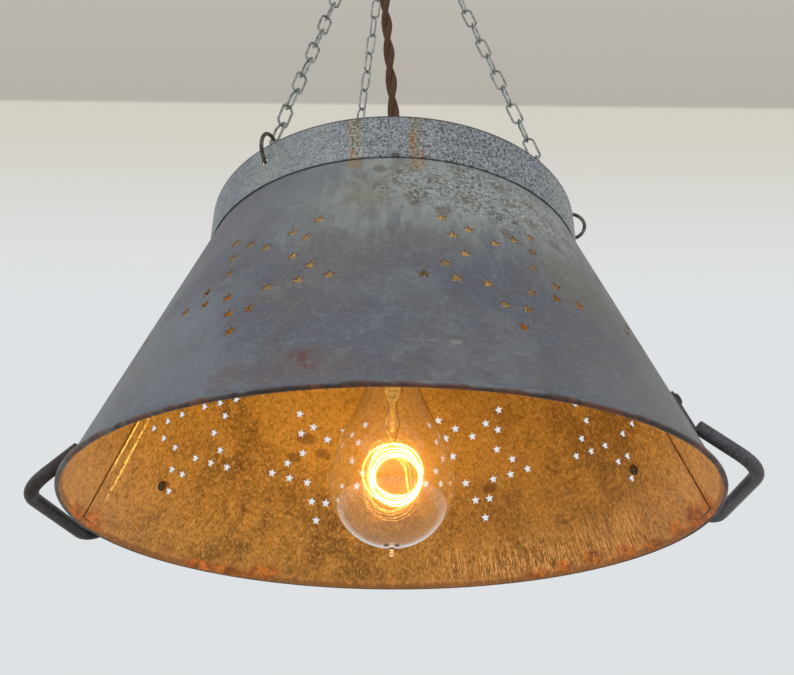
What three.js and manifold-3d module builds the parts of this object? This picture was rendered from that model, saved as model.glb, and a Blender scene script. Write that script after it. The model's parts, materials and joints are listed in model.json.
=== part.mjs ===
// A pendant lamp: a galvanised tub turned mouth down, punched with stars, on three chains.
// Millimetres, +Z up. The origin is the centre of the ceiling plate's top face.
// The photographed side faces -Y. Angles round the shade run from -Y towards +X.
import * as THREE from "three";
import { mergeVertices } from "three/addons/utils/BufferGeometryUtils.js";
import Module from "manifold-3d";

// Driving sizes, shared
const GAP = 0.3; // between pieces that touch
const SIMPLIFY = 0.08; // after a boolean, points this close to a straight line or flat go
const FACETS = 48; // flats round the shade
const SEAM_ANGLE = 84.8; // the right-hand seam and handle; the left ones lie opposite

// Driving sizes, shade
const RIM_RADIUS = 195.05; // outside of the wall at the rolled rim's centre height
const FOOT_RADIUS = 129.7; // outside of the wall where the foot band starts
const WALL_HEIGHT = 177.7; // from the rolled rim's centre to the foot band's lower edge
const BAND_HEIGHT = 31.5;
const SHEET = 0.8; // thickness of every sheet of the shade
const WALL_COLLAR = 13; // how far the wall runs up inside the foot band
const PLATE_LEVEL = 183.5; // underside of the base plate above the rim's centre
const LAP_WIDTH = 11; // seam lap, measured at mid height
const BEAD_RADIUS = 1.6; // outside of the rolled rim, with the rim wire inside it
const RIM_WIRE_RADIUS = 0.4;

// Driving sizes, stars
const CLUSTERS = [
  [-27.4, 92.1],
  [18.3, 91.3],
  [63, 92],
  [106.2, 95.3],
  [152.7, 97.8],
  [198.8, 96.5],
  [242.8, 91.4],
  [288, 92],
]; // each big star's angle, and the way up the wall to its centre: punched by hand
const BIG_STAR_OUTER = 46;
const BIG_STAR_INNER = 20.5;
const SMALL_STAR_OUTER = 3.9;
const SMALL_STAR_INNER = 1.75;

// Driving sizes, handles
const HANDLE_HALF_SPREAD = 60; // from the handle's middle to a leg's foot on the wall
const HANDLE_FOOT_LEVEL = 30; // height of the legs' feet above the rim's centre
const FINGER_GAP = 11; // between the rolled rim and the grip
const GRIP_LEVEL = 8;
const HANDLE_LIFT = { right: 3, left: -3.5 }; // riveted by hand, one higher than the other
const GRIP_HALF_LENGTH = 50;
const GRIP_BEND = 16;
const HANDLE_RADIUS = 4.2;
const TAB_LENGTH = 24;
const TAB_WIDTH = 8.6;
const TAB_THICKNESS = 2;
const RIVET_RADIUS = 2;
const RIVET_HEAD_RADIUS = 3.7;
const RIVET_HEAD = 1.5;

// Driving sizes, chains
const CHAIN_ANGLES = { chain_left: -39.7, chain_right: 78, chain_back: 202.5 };
const RING_TURNS = { chain_left: 19, chain_right: 0, chain_back: 0 }; // about the chain
const RING_HOLE_BELOW_EDGE = 12.7; // ring hole's centre below the band's top edge
const RING_HOLE_RADIUS = 2.5;
const JUMP_RING_RADIUS = 11;
const JUMP_RING_WIRE = 1.25; // radius
const LINK_PITCH = 19.6; // nominal: the nearest pitch that fills the length is used
const LINK_WIRE = 0.9; // radius
const LINK_HALF_WIDTH = 4; // to the wire's centre
const LINK_BITE = 0.35; // neighbouring links meet by this much, so that a chain is one solid
const CHAIN_RISE = 667; // from the rim's centre to the chains' meeting point
const CHAIN_SPACING = 5; // between the top links along the suspension ring
const TOP_LINK_GAP = 0.7;

// Driving sizes, ceiling end
const SUSPENSION_RING_RADIUS = 15;
const SUSPENSION_RING_WIRE = 2; // radius
const HOOK_WIRE = 2.5; // radius
const HOOK_BEND = 10.5;
const SHANK_RADIUS = 4;
const SHANK_LENGTH = 62;
const PLATE_CLEARANCE = 2.8; // all round, inside the canopy
const PLATE_THICKNESS = 3;
const PLATE_BOSS_RADIUS = 8;
const PLATE_BOSS = 8;
const PLATE_SCREW_OFFSET = 28;
const PLATE_SCREW_RADIUS = 2.5;
const CANOPY_RADIUS = 42;
const CANOPY_HEIGHT = 36;
const CANOPY_SHEET = 1.2;
const PLATE_RADIUS = CANOPY_RADIUS - CANOPY_SHEET - PLATE_CLEARANCE;
const COLLAR_RADIUS = 8.5;
const COLLAR_HEIGHT = 7;
const TERMINAL_SIZE = [22, 18, 11];
const CORD_OFFSET = 26; // the cord leaves the canopy this far to the left

// Driving sizes, cord
const CORD_RADIUS = 4.9; // over both twisted strands
const CORD_SIDES = 8;
const CORD_STEP = 20;
const LEAD_RADIUS = 1;

// Driving sizes, lampholder and bulb
const NIPPLE_RADIUS = 5;
const NIPPLE_BORE = 3.3;
const NIPPLE_BELOW = 12; // below the base plate
const NIPPLE_ABOVE = 16;
const WASHER_RADIUS = 11;
const WASHER = 1.2;
const NUT_RADIUS = 8;
const NUT = 4;
const GRIP_TOP = 28; // top of the cord grip above the base plate
const GRIP_RADIUS = 7.5;
const HOLDER_RADIUS = 20;
const HOLDER_WALL = 1.6;
const HOLDER_CAP_HEIGHT = 23;
const HOLDER_SKIRT_HEIGHT = 54;
const SKIRT_STEP = 30; // how far down the skirt narrows
const SHELL_RADIUS = 14.6;
const SHELL_WALL = 0.5;
const CAP_RADIUS = 13.2;
const CAP_LENGTH = 24;
const CAP_WALL = 0.9;
const BULB_RADIUS = 40;
const BULB_CENTRE = 22.6; // centre of the bulb's round part above the rim's centre
const BULB_SHOULDER = [
  [39.6, 28],
  [37.2, 41],
  [33, 54],
  [27.2, 67],
  [21.3, 81],
  [16.8, 94],
]; // radius and height of the glass between its round part and its neck
const BULB_NECK_RADIUS = 12;
const BULB_NECK_LEVEL = 108; // where the neck meets the cap
const GLASS = 1;
const STEM_ROD_RADIUS = 1.8;
const STEM_ROD_END = 58; // the rod's lower end above the rim's centre
const STEM_FLARE = 83; // where the rod opens into the flare
const TIP_LENGTH = 6;
const FILAMENT_WIRE = 0.5;
const FILAMENT_LOOPS = 3;
const FILAMENT_RADIUS = 18.5;
const FILAMENT_CENTRE = 27;

// Heights worked out from the sizes above, from the ceiling down
const SHANK_END = -PLATE_THICKNESS - SHANK_LENGTH;
const HOOK_LEVEL = SHANK_END - 2 * HOOK_BEND; // centre of the hook's bend
const SWING_LEVEL = HOOK_LEVEL - HOOK_BEND; // the hook's lowest wire, where the ring hangs
const RING_LEVEL =
  SWING_LEVEL + HOOK_WIRE + GAP + SUSPENSION_RING_WIRE - SUSPENSION_RING_RADIUS;
const APEX_LEVEL = RING_LEVEL - SUSPENSION_RING_RADIUS; // where the chains meet
const RIM_LEVEL = APEX_LEVEL - CHAIN_RISE;

const wasm = await Module();
wasm.setup();
const { Manifold } = wasm;
const rad = THREE.MathUtils.degToRad;
const v2 = (x, y) => new THREE.Vector2(x, y);
const v3 = (x, y, z) => new THREE.Vector3(x, y, z);

const finish = (color, roughness, metalness) =>
  new THREE.MeshStandardMaterial({ color, roughness, metalness });
const ZINC = finish(0x7d8288, 0.55, 0.7);
const OLD_STEEL = finish(0x4a4542, 0.6, 0.7);
const STEEL = finish(0xb4b6b8, 0.35, 0.9);
const BRASS = finish(0xb9934a, 0.35, 0.9);
const BLACK_PLASTIC = finish(0x1c1b1a, 0.5, 0);
const CERAMIC = finish(0xe6e2d8, 0.4, 0);
const CLOTH = finish(0x6b4128, 0.9, 0);
const CLEAR_GLASS = finish(0xf3efe4, 0.05, 0);
const GLOW = finish(0xffd38a, 0.4, 0);

// A closed three.js geometry as a solid for the boolean operations.
function solid(geometry) {
  const loose = geometry.index ? geometry.toNonIndexed() : geometry;
  const bare = new THREE.BufferGeometry();
  bare.setAttribute("position", loose.getAttribute("position"));
  const merged = mergeVertices(bare, 1e-4);
  const corners = merged.index.array;
  const kept = [];
  for (let i = 0; i < corners.length; i += 3) {
    const [a, b, c] = corners.slice(i, i + 3);
    if (a !== b && b !== c && c !== a) kept.push(a, b, c);
  }
  return new Manifold(
    new wasm.Mesh({
      numProp: 3,
      vertProperties: merged.attributes.position.array,
      triVerts: new Uint32Array(kept),
    }),
  );
}

// A solid as a three.js geometry.
function geometryOf(body) {
  const made = body.asOriginal().simplify(SIMPLIFY).getMesh();
  const position = new THREE.BufferAttribute(made.vertProperties, 3);
  const geometry = new THREE.BufferGeometry();
  geometry.setAttribute("position", position);
  geometry.setIndex(new THREE.BufferAttribute(made.triVerts, 1));
  geometry.computeVertexNormals();
  return geometry;
}

const join = (...bodies) => Manifold.union(bodies);

const root = new THREE.Group();
const shade = new THREE.Group(); // its own heights run up from the rolled rim's centre
shade.position.z = RIM_LEVEL;
root.add(shade);

function add(group, name, shape, material) {
  const geometry = shape.isBufferGeometry ? shape : geometryOf(shape);
  const mesh = new THREE.Mesh(geometry, material);
  mesh.name = name;
  group.add(mesh);
}

// A profile of [radius, height] points turned about Z, from SEAM_ANGLE on.
function turned(profile, facets = 16) {
  const points = profile.map(([r, z]) => v2(r, z));
  const onAxis = points[0].x === 0 && points.at(-1).x === 0;
  if (!onAxis) points.push(points[0].clone());
  return new THREE.LatheGeometry(points, facets, rad(SEAM_ANGLE)).rotateX(
    Math.PI / 2,
  );
}

function disc(radius, sides) {
  const corner = (_, i) => v2(radius, 0).rotateAround(v2(0, 0), (2 * Math.PI * i) / sides);
  return new THREE.Shape(Array.from({ length: sides }, corner));
}

const tube = (path, radius, sides, steps) =>
  new THREE.ExtrudeGeometry(disc(radius, sides), { steps, extrudePath: path });

// An upright cylinder from one height to another.
const post = (radius, from, to, sides = 16, x = 0, y = 0) =>
  new THREE.ExtrudeGeometry(disc(radius, sides), {
    depth: to - from,
    bevelEnabled: false,
  }).translate(x, y, from);

// Outward, sideways and up at an angle round the shade.
const outward = (angle) => v3(Math.sin(rad(angle)), -Math.cos(rad(angle)), 0);
const sideways = (angle) => v3(Math.cos(rad(angle)), Math.sin(rad(angle)), 0);
const UP = v3(0, 0, 1);

// The wall's line
const wallSlope = (RIM_RADIUS - FOOT_RADIUS) / WALL_HEIGHT;
const wallRadius = (height) => RIM_RADIUS - wallSlope * height;
const lean = Math.atan(wallSlope);
const wallNormal = (angle) =>
  outward(angle)
    .multiplyScalar(Math.cos(lean))
    .addScaledVector(UP, Math.sin(lean));
const wallUp = (angle) =>
  UP.clone()
    .multiplyScalar(Math.cos(lean))
    .addScaledVector(outward(angle), -Math.sin(lean));

// A full turn of sheet between two depths under the wall's outer face.
function wallShell(outer, inner) {
  const steep = 1 / Math.cos(lean);
  const top = WALL_HEIGHT + WALL_COLLAR;
  const at = (depth) => [
    [RIM_RADIUS - depth * steep, 0],
    [FOOT_RADIUS - depth, WALL_HEIGHT],
    [FOOT_RADIUS - depth, top],
  ];
  return solid(turned([...at(outer), ...at(inner).reverse()], FACETS));
}

// The rolled rim: a strip of sheet bent outward round the rim wire.
const BEAD_CENTRE = RIM_RADIUS + BEAD_RADIUS - SHEET;
function rolledRim() {
  const steps = 4;
  const ring = (radius) =>
    Array.from({ length: steps + 1 }, (_, i) => {
      const turn = rad(170 + (270 * i) / steps);
      return [BEAD_CENTRE + radius * Math.cos(turn), radius * Math.sin(turn)];
    });
  const profile = [...ring(BEAD_RADIUS), ...ring(BEAD_RADIUS - SHEET).reverse()];
  return solid(turned(profile, FACETS));
}

// A wedge of space between two angles round the shade.
function wedge(from, to) {
  const reach = 2 * RIM_RADIUS;
  const steps = Math.ceil((to - from) / 45);
  const corners = [v2(0, 0)];
  for (let i = 0; i <= steps; i++) {
    const edge = outward(from + ((to - from) * i) / steps);
    corners.push(v2(edge.x * reach, edge.y * reach));
  }
  const height = 2 * WALL_HEIGHT;
  const settings = { depth: 2 * height, bevelEnabled: false };
  return solid(
    new THREE.ExtrudeGeometry(new THREE.Shape(corners), settings).translate(
      0,
      0,
      -height,
    ),
  );
}

// Places a geometry made in a flat frame (X sideways, Y up the slope, Z out) on the wall.
function onWall(geometry, angle, height, lift = 0) {
  const place = new THREE.Matrix4().makeBasis(
    sideways(angle),
    wallUp(angle),
    wallNormal(angle),
  );
  const spot = outward(angle).multiplyScalar(wallRadius(height));
  spot.z = height;
  spot.addScaledVector(wallNormal(angle), lift);
  return geometry.applyMatrix4(place.setPosition(spot));
}

// Five points and five notches, first point up, or down where turn is 180.
function starCorners(outer, inner, turn) {
  return Array.from({ length: 10 }, (_, i) => {
    const angle = rad(90 + turn + 36 * i);
    const radius = i % 2 ? inner : outer;
    return v2(radius * Math.cos(angle), radius * Math.sin(angle));
  });
}

// One big star's small stars, at its corners and midway along its edges.
function starPunches([clusterAngle, slant]) {
  const corners = starCorners(BIG_STAR_OUTER, BIG_STAR_INNER, 180);
  const spots = corners.flatMap((corner, i) => [
    corner,
    corner.clone().lerp(corners[(i + 1) % 10], 0.5),
  ]);
  return spots.map((spot) => {
    const height = (slant + spot.y) * Math.cos(lean);
    const turn = THREE.MathUtils.radToDeg(spot.x / wallRadius(height));
    const shape = new THREE.Shape(
      starCorners(SMALL_STAR_OUTER, SMALL_STAR_INNER, 0),
    );
    const depth = 4 * SHEET;
    const punch = new THREE.ExtrudeGeometry(shape, {
      depth: 2 * depth,
      bevelEnabled: false,
    }).translate(0, 0, -depth);
    return solid(onWall(punch, clusterAngle + turn, height));
  });
}

// Handles stand over the two seams. A foot is one leg's place on the wall.
const gripReach = RIM_RADIUS + 2 * BEAD_RADIUS - SHEET + FINGER_GAP + HANDLE_RADIUS;
const handlePlace = (side, middle) => {
  const footLevel = HANDLE_FOOT_LEVEL + HANDLE_LIFT[side];
  const turn = Math.asin(HANDLE_HALF_SPREAD / wallRadius(footLevel));
  return {
    side,
    middle,
    footLevel,
    gripLevel: GRIP_LEVEL + HANDLE_LIFT[side],
    footTurn: THREE.MathUtils.radToDeg(turn),
    rivetLevel: footLevel + (TAB_LENGTH - 1.5 * RIVET_HEAD_RADIUS) * Math.cos(lean),
  };
};
const HANDLES = [
  handlePlace("right", SEAM_ANGLE),
  handlePlace("left", SEAM_ANGLE - 180),
];
const rivetHoles = ({ middle, footTurn, rivetLevel }) =>
  [middle - footTurn, middle + footTurn].map((angle) =>
    solid(
      onWall(
        post(RIVET_RADIUS + GAP, -4 * SHEET, 4 * SHEET, 10),
        angle,
        rivetLevel,
      ),
    ),
  );

// One sheet of the wall from one seam to the other. Its lap, where it has one,
// runs under the neighbour's edge.
function wallSheet(from, to, clusters, lapped) {
  const seamGap = THREE.MathUtils.radToDeg(GAP / FOOT_RADIUS);
  const full = wallShell(0, SHEET);
  let sheet = join(full, rolledRim()).intersect(
    wedge(from + seamGap / 2, to - seamGap / 2),
  );
  if (lapped) {
    const lap = THREE.MathUtils.radToDeg(
      LAP_WIDTH / wallRadius(WALL_HEIGHT / 2) / 2,
    );
    const under = wallShell(SHEET + GAP, 2 * SHEET + GAP);
    const step = wallShell(SHEET / 2, 2 * SHEET + GAP);
    for (const [seam, side] of [
      [from, -1],
      [to, 1],
    ]) {
      const near = [seam - side * lap, seam + side * lap];
      const bend = [seam - side * lap, seam - side * lap * 0.7];
      sheet = join(
        sheet,
        under.intersect(wedge(Math.min(...near), Math.max(...near))),
        step.intersect(wedge(Math.min(...bend), Math.max(...bend))),
      );
    }
  }
  const cuts = [...clusters.flatMap(starPunches), ...HANDLES.flatMap(rivetHoles)];
  return sheet.subtract(join(...cuts));
}

const isFront = ([angle]) => Math.sin(rad(SEAM_ANGLE - angle)) > 0;
add(
  shade,
  "wall_front",
  wallSheet(SEAM_ANGLE - 180, SEAM_ANGLE, CLUSTERS.filter(isFront), true),
  ZINC,
);
add(
  shade,
  "wall_back",
  wallSheet(
    SEAM_ANGLE,
    SEAM_ANGLE + 180,
    CLUSTERS.filter((place) => !isFront(place)),
    false,
  ),
  ZINC,
);

add(
  shade,
  "rim_wire",
  turned(
    Array.from({ length: 4 }, (_, i) => [
      BEAD_CENTRE + RIM_WIRE_RADIUS * Math.cos((i * Math.PI) / 2),
      RIM_WIRE_RADIUS * Math.sin((i * Math.PI) / 2),
    ]),
    FACETS,
  ),
  OLD_STEEL,
);

// Foot band and the holes for the jump rings
const bandInner = FOOT_RADIUS + GAP;
const bandTop = WALL_HEIGHT + BAND_HEIGHT;
const ringHoleLevel = bandTop - RING_HOLE_BELOW_EDGE;
{
  const band = solid(
    turned(
      [
        [bandInner + SHEET, WALL_HEIGHT],
        [bandInner + SHEET, bandTop],
        [bandInner, bandTop],
        [bandInner, WALL_HEIGHT],
      ],
      FACETS,
    ),
  );
  const holes = Object.values(CHAIN_ANGLES).map((angle) => {
    const bore = new THREE.CylinderGeometry(RING_HOLE_RADIUS, RING_HOLE_RADIUS, 20, 12);
    bore.translate(0, -bandInner, 0).rotateZ(rad(angle));
    return solid(bore.translate(0, 0, ringHoleLevel));
  });
  add(shade, "foot_band", band.subtract(join(...holes)), ZINC);
}

// Base plate, a shallow dish with its flange up inside the wall's collar
const plateTop = PLATE_LEVEL + SHEET;
{
  const flange = FOOT_RADIUS - SHEET - GAP - SHEET - GAP;
  const flangeTop = WALL_HEIGHT + WALL_COLLAR;
  add(
    shade,
    "base_plate",
    turned(
      [
        [NIPPLE_RADIUS + GAP, PLATE_LEVEL],
        [flange - SHEET, PLATE_LEVEL],
        [flange, PLATE_LEVEL + SHEET],
        [flange, flangeTop],
        [flange - SHEET, flangeTop],
        [flange - SHEET, plateTop],
        [NIPPLE_RADIUS + GAP, plateTop],
      ],
      FACETS,
    ),
    ZINC,
  );
}

// Handles: a bent tube whose ends are flattened into tabs
function handle(place) {
  const { middle, footLevel, gripLevel, footTurn } = place;
  const out = outward(middle);
  const side = sideways(middle);
  const spot = (reach, across, level) =>
    v3(0, 0, level).addScaledVector(out, reach).addScaledVector(side, across);
  const path = new THREE.CurvePath();
  const footReach = (across) => {
    const lift = GAP + TAB_THICKNESS + HANDLE_RADIUS / 2;
    const turn = Math.asin(across / wallRadius(footLevel));
    return (wallRadius(footLevel) + lift) * Math.cos(turn);
  };
  const reach = footReach(HANDLE_HALF_SPREAD);
  const points = [
    spot(reach, -HANDLE_HALF_SPREAD, footLevel),
    spot(gripReach, -GRIP_HALF_LENGTH, gripLevel),
    spot(gripReach, GRIP_HALF_LENGTH, gripLevel),
    spot(reach, HANDLE_HALF_SPREAD, footLevel),
  ];
  const towards = (a, b, distance) =>
    a.clone().addScaledVector(b.clone().sub(a).normalize(), distance);
  let last = points[0];
  for (const i of [1, 2]) {
    const before = towards(points[i], points[i - 1], GRIP_BEND);
    const after = towards(points[i], points[i + 1], GRIP_BEND);
    path.add(new THREE.LineCurve3(last, before));
    path.add(new THREE.QuadraticBezierCurve3(before, points[i], after));
    last = after;
  }
  path.add(new THREE.LineCurve3(last, points[3]));
  const tabs = [-footTurn, footTurn].map((turn) => {
    const below = HANDLE_RADIUS; // the tab's start inside the tube
    const tab = new THREE.BoxGeometry(TAB_WIDTH, TAB_LENGTH + below, TAB_THICKNESS);
    tab.translate(0, (TAB_LENGTH - below) / 2, TAB_THICKNESS / 2);
    return solid(onWall(tab, middle + turn, footLevel, GAP));
  });
  const bar = solid(tube(path, HANDLE_RADIUS, 8, 16));
  return join(bar, ...tabs).subtract(join(...rivetHoles(place)));
}

function rivet(angle, level) {
  const flatDepth = RIM_RADIUS * (1 - Math.cos(Math.PI / FACETS)); // a flat inside the round
  const outer = GAP + TAB_THICKNESS + GAP;
  const inner = -flatDepth - SHEET - GAP;
  const head = RIVET_HEAD_RADIUS;
  return onWall(
    new THREE.LatheGeometry(
      [
        [0, inner - RIVET_HEAD],
        [head * 0.6, inner - RIVET_HEAD],
        [head, inner],
        [RIVET_RADIUS, inner],
        [RIVET_RADIUS, outer],
        [head, outer],
        [head * 0.6, outer + RIVET_HEAD],
        [0, outer + RIVET_HEAD],
      ].map(([r, z]) => v2(r, z)),
      8,
    ).rotateX(Math.PI / 2),
    angle,
    level,
  );
}

for (const place of HANDLES) {
  const { side, middle, footTurn, rivetLevel } = place;
  const near = side === "right" ? -footTurn : footTurn;
  add(shade, "handle_" + side, handle(place), OLD_STEEL);
  add(shade, "rivet_" + side + "_near", rivet(middle + near, rivetLevel), OLD_STEEL);
  add(shade, "rivet_" + side + "_far", rivet(middle - near, rivetLevel), OLD_STEEL);
}

// Suspension ring in the YZ plane, on the hook
function ringMesh(radius, wire, segments, sides) {
  return new THREE.TorusGeometry(radius, wire, sides, segments);
}
add(
  root,
  "suspension_ring",
  ringMesh(SUSPENSION_RING_RADIUS, SUSPENSION_RING_WIRE, 20, 6)
    .rotateY(Math.PI / 2)
    .translate(0, 0, RING_LEVEL),
  STEEL,
);

// One oval link along X, its ends' wire centres half its length from the middle.
function link(length) {
  const radius = LINK_HALF_WIDTH / Math.sin(Math.PI / 3);
  const shape = new THREE.TorusGeometry(radius, LINK_WIRE, 4, 6);
  const position = shape.getAttribute("position");
  for (let i = 0; i < position.count; i++) {
    const x = position.getX(i);
    position.setX(i, x + Math.sign(x) * (length / 2 - radius));
  }
  return shape;
}

// A chain from its jump ring to the suspension ring. Links turn a quarter from one to
// the next, with a small extra turn that lines the last one up with the ring.
function chain(name, angle, along) {
  const hole = outward(angle).multiplyScalar(bandInner + SHEET / 2);
  hole.z = RIM_LEVEL + ringHoleLevel;
  const drop = Math.sqrt(SUSPENSION_RING_RADIUS ** 2 - along ** 2);
  const hang = v3(0, along, RING_LEVEL - drop);
  const up = hang.clone().sub(hole).normalize();
  const across = sideways(angle);
  const flat = up.clone().cross(across).normalize();
  const ringCentre = hole.clone().addScaledVector(up, JUMP_RING_RADIUS);
  const ringFlat = flat.clone().applyAxisAngle(up, rad(RING_TURNS[name]));
  const ringBasis = new THREE.Matrix4().makeBasis(
    up,
    ringFlat,
    up.clone().cross(ringFlat),
  );
  add(
    root,
    name.replace("chain", "jump_ring"),
    ringMesh(JUMP_RING_RADIUS, JUMP_RING_WIRE, 14, 4).applyMatrix4(
      ringBasis.setPosition(ringCentre),
    ),
    OLD_STEEL,
  );
  const first = 2 * JUMP_RING_RADIUS - JUMP_RING_WIRE - GAP - LINK_WIRE;
  const last =
    hang.distanceTo(hole) + SUSPENSION_RING_WIRE + TOP_LINK_GAP + LINK_WIRE;
  const grip = 2 * LINK_WIRE - LINK_BITE;
  const count = Math.round((last - first - grip) / LINK_PITCH);
  const pitch = (last - first - grip) / count;
  const width = v3(1, 0, 0).addScaledVector(up, -up.x).normalize();
  const wanted = Math.atan2(width.dot(flat), width.dot(across));
  const quarters = ((count - 1) * Math.PI) / 2;
  const extra = wanted - quarters - Math.PI * Math.round((wanted - quarters) / Math.PI);
  const links = Array.from({ length: count }, (_, i) => {
    const roll = (i * Math.PI) / 2 + (extra * i) / (count - 1);
    const wide = across
      .clone()
      .multiplyScalar(Math.cos(roll))
      .addScaledVector(flat, Math.sin(roll));
    const middle = first + pitch / 2 + grip / 2 + i * pitch;
    const place = new THREE.Matrix4().makeBasis(up, wide, up.clone().cross(wide));
    place.setPosition(hole.clone().addScaledVector(up, middle));
    return solid(link(pitch + grip).applyMatrix4(place));
  });
  add(root, name, join(...links), STEEL);
}

const order = { chain_left: -1, chain_right: 0, chain_back: 1 };
for (const [name, angle] of Object.entries(CHAIN_ANGLES))
  chain(name, angle, order[name] * CHAIN_SPACING);

// Ceiling plate with a boss for the hook's shank and two screw holes
{
  const shankBore = SHANK_RADIUS + GAP;
  const under = -PLATE_THICKNESS;
  const body = solid(
    turned(
      [
        [0, 0],
        [0, under],
        [shankBore, under],
        [shankBore, under - PLATE_BOSS],
        [PLATE_BOSS_RADIUS, under - PLATE_BOSS],
        [PLATE_BOSS_RADIUS, under],
        [PLATE_RADIUS, under],
        [PLATE_RADIUS, 0],
      ],
      24,
    ),
  );
  const screwHoles = [-1, 1].map((side) =>
    solid(
      post(PLATE_SCREW_RADIUS, -10, 10, 12, 0, side * PLATE_SCREW_OFFSET),
    ),
  );
  add(root, "ceiling_plate", body.subtract(join(...screwHoles)), STEEL);
}

// Hook: a shank and an open bend in the XZ plane
{
  const bendTop = SHANK_END + 4;
  const path = new THREE.CurvePath();
  const at = (x, z) => v3(x, 0, z);
  const start = at(0, bendTop);
  path.add(new THREE.LineCurve3(start, at(0, SHANK_END - 1)));
  path.add(
    new THREE.CubicBezierCurve3(
      at(0, SHANK_END - 1),
      at(0, SHANK_END - 9),
      at(HOOK_BEND, HOOK_LEVEL + 9),
      at(HOOK_BEND, HOOK_LEVEL),
    ),
  );
  const arc = Array.from({ length: 9 }, (_, i) => {
    const turn = (i / 8) * Math.PI;
    return at(
      HOOK_BEND * Math.cos(turn),
      HOOK_LEVEL - HOOK_BEND * Math.sin(turn),
    );
  });
  arc.push(at(0.85 - HOOK_BEND, HOOK_LEVEL + 5));
  path.add(new THREE.CatmullRomCurve3(arc));
  const shank = solid(
    post(SHANK_RADIUS, SHANK_END, -PLATE_THICKNESS - GAP, 16),
  );
  add(root, "ceiling_hook", join(shank, solid(tube(path, HOOK_WIRE, 8, 20))), STEEL);
}

// Canopy, its collar on the shank, the cord's bushing and the terminals
const canopyTop = -2 * GAP;
const canopyFloor = canopyTop - CANOPY_HEIGHT;
{
  const bushingBore = CORD_RADIUS + GAP;
  const bushingWall = 1.6;
  const lip = 1.5;
  const corner = 8;
  const cup = (radius, floor, bend) =>
    [1, 2 / 3, 1 / 3, 0].map((share) => [
      radius - bend + bend * Math.sin((share * Math.PI) / 2),
      floor + bend - bend * Math.cos((share * Math.PI) / 2),
    ]);
  const shankBore = SHANK_RADIUS + GAP;
  const outer = cup(CANOPY_RADIUS, canopyFloor, corner).reverse();
  const inner = cup(
    CANOPY_RADIUS - CANOPY_SHEET,
    canopyFloor + CANOPY_SHEET,
    corner - CANOPY_SHEET,
  );
  const shell = solid(
    turned(
      [
        [shankBore, canopyFloor],
        ...outer,
        [CANOPY_RADIUS, canopyTop],
        [CANOPY_RADIUS - CANOPY_SHEET, canopyTop],
        ...inner,
        [shankBore, canopyFloor + CANOPY_SHEET],
      ],
      24,
    ),
  );
  const cordHole = solid(
    post(
      bushingBore + bushingWall + GAP,
      canopyFloor - 5,
      canopyFloor + 5,
      16,
      -CORD_OFFSET,
    ),
  );
  add(root, "canopy", shell.subtract(cordHole), OLD_STEEL);
  add(
    root,
    "canopy_collar",
    turned(
      [
        [shankBore, canopyFloor - GAP - COLLAR_HEIGHT],
        [COLLAR_RADIUS - 1, canopyFloor - GAP - COLLAR_HEIGHT],
        [COLLAR_RADIUS, canopyFloor - GAP - COLLAR_HEIGHT + 1],
        [COLLAR_RADIUS, canopyFloor - GAP],
        [shankBore, canopyFloor - GAP],
      ],
      16,
    ),
    BRASS,
  );
  const flangeBelow = canopyFloor - GAP;
  add(
    root,
    "canopy_bushing",
    turned(
      [
        [bushingBore, flangeBelow - lip],
        [bushingBore + bushingWall + lip, flangeBelow - lip],
        [bushingBore + bushingWall + lip, flangeBelow],
        [bushingBore + bushingWall, flangeBelow],
        [bushingBore + bushingWall, canopyFloor + CANOPY_SHEET + 2],
        [bushingBore, canopyFloor + CANOPY_SHEET + 2],
      ],
      16,
    ).translate(-CORD_OFFSET, 0, 0),
    BLACK_PLASTIC,
  );
}
const terminalLevel = -PLATE_THICKNESS - GAP - TERMINAL_SIZE[2];
add(
  root,
  "terminal_block",
  new THREE.BoxGeometry(...TERMINAL_SIZE).translate(
    -CORD_OFFSET,
    0,
    terminalLevel + TERMINAL_SIZE[2] / 2,
  ),
  CERAMIC,
);

// Cord: the points that it follows, chosen by hand, from the terminals to the cord grip
const CORD_SPLIT = -112; // at the suspension ring's height
const cordEnd = RIM_LEVEL + plateTop + GRIP_TOP + GAP;
const cordTop = terminalLevel - GAP;
const CORD_UPPER = [
  [-26, 0, cordTop],
  [-26, 0, -30],
  [-26, 0, -60],
  [-24.9, 0, -78],
  [-22.6, 0, -98],
  [-21.2, 0, CORD_SPLIT + GAP],
];
const CORD_LOWER = [
  [-21.2, 0, CORD_SPLIT],
  [-19.9, 0, -134],
  [-14.6, 0, -220],
  [-9.2, 0, -310],
  [-4.2, 0, -390],
  [-0.6, 0, -450],
  [0.8, 0, -495],
  [0.4, 0, -540],
  [0, 0, -562],
  [0, 0, cordEnd],
];
function cord(points) {
  const route = points.map((p) => v3(...p));
  const path = new THREE.CatmullRomCurve3(route, false, "centripetal");
  const steps = Math.ceil(path.getLength() / CORD_STEP);
  return tube(path, CORD_RADIUS, CORD_SIDES, steps);
}
add(root, "cord_upper", cord(CORD_UPPER), CLOTH);
add(root, "cord_lower", cord(CORD_LOWER), CLOTH);

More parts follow.
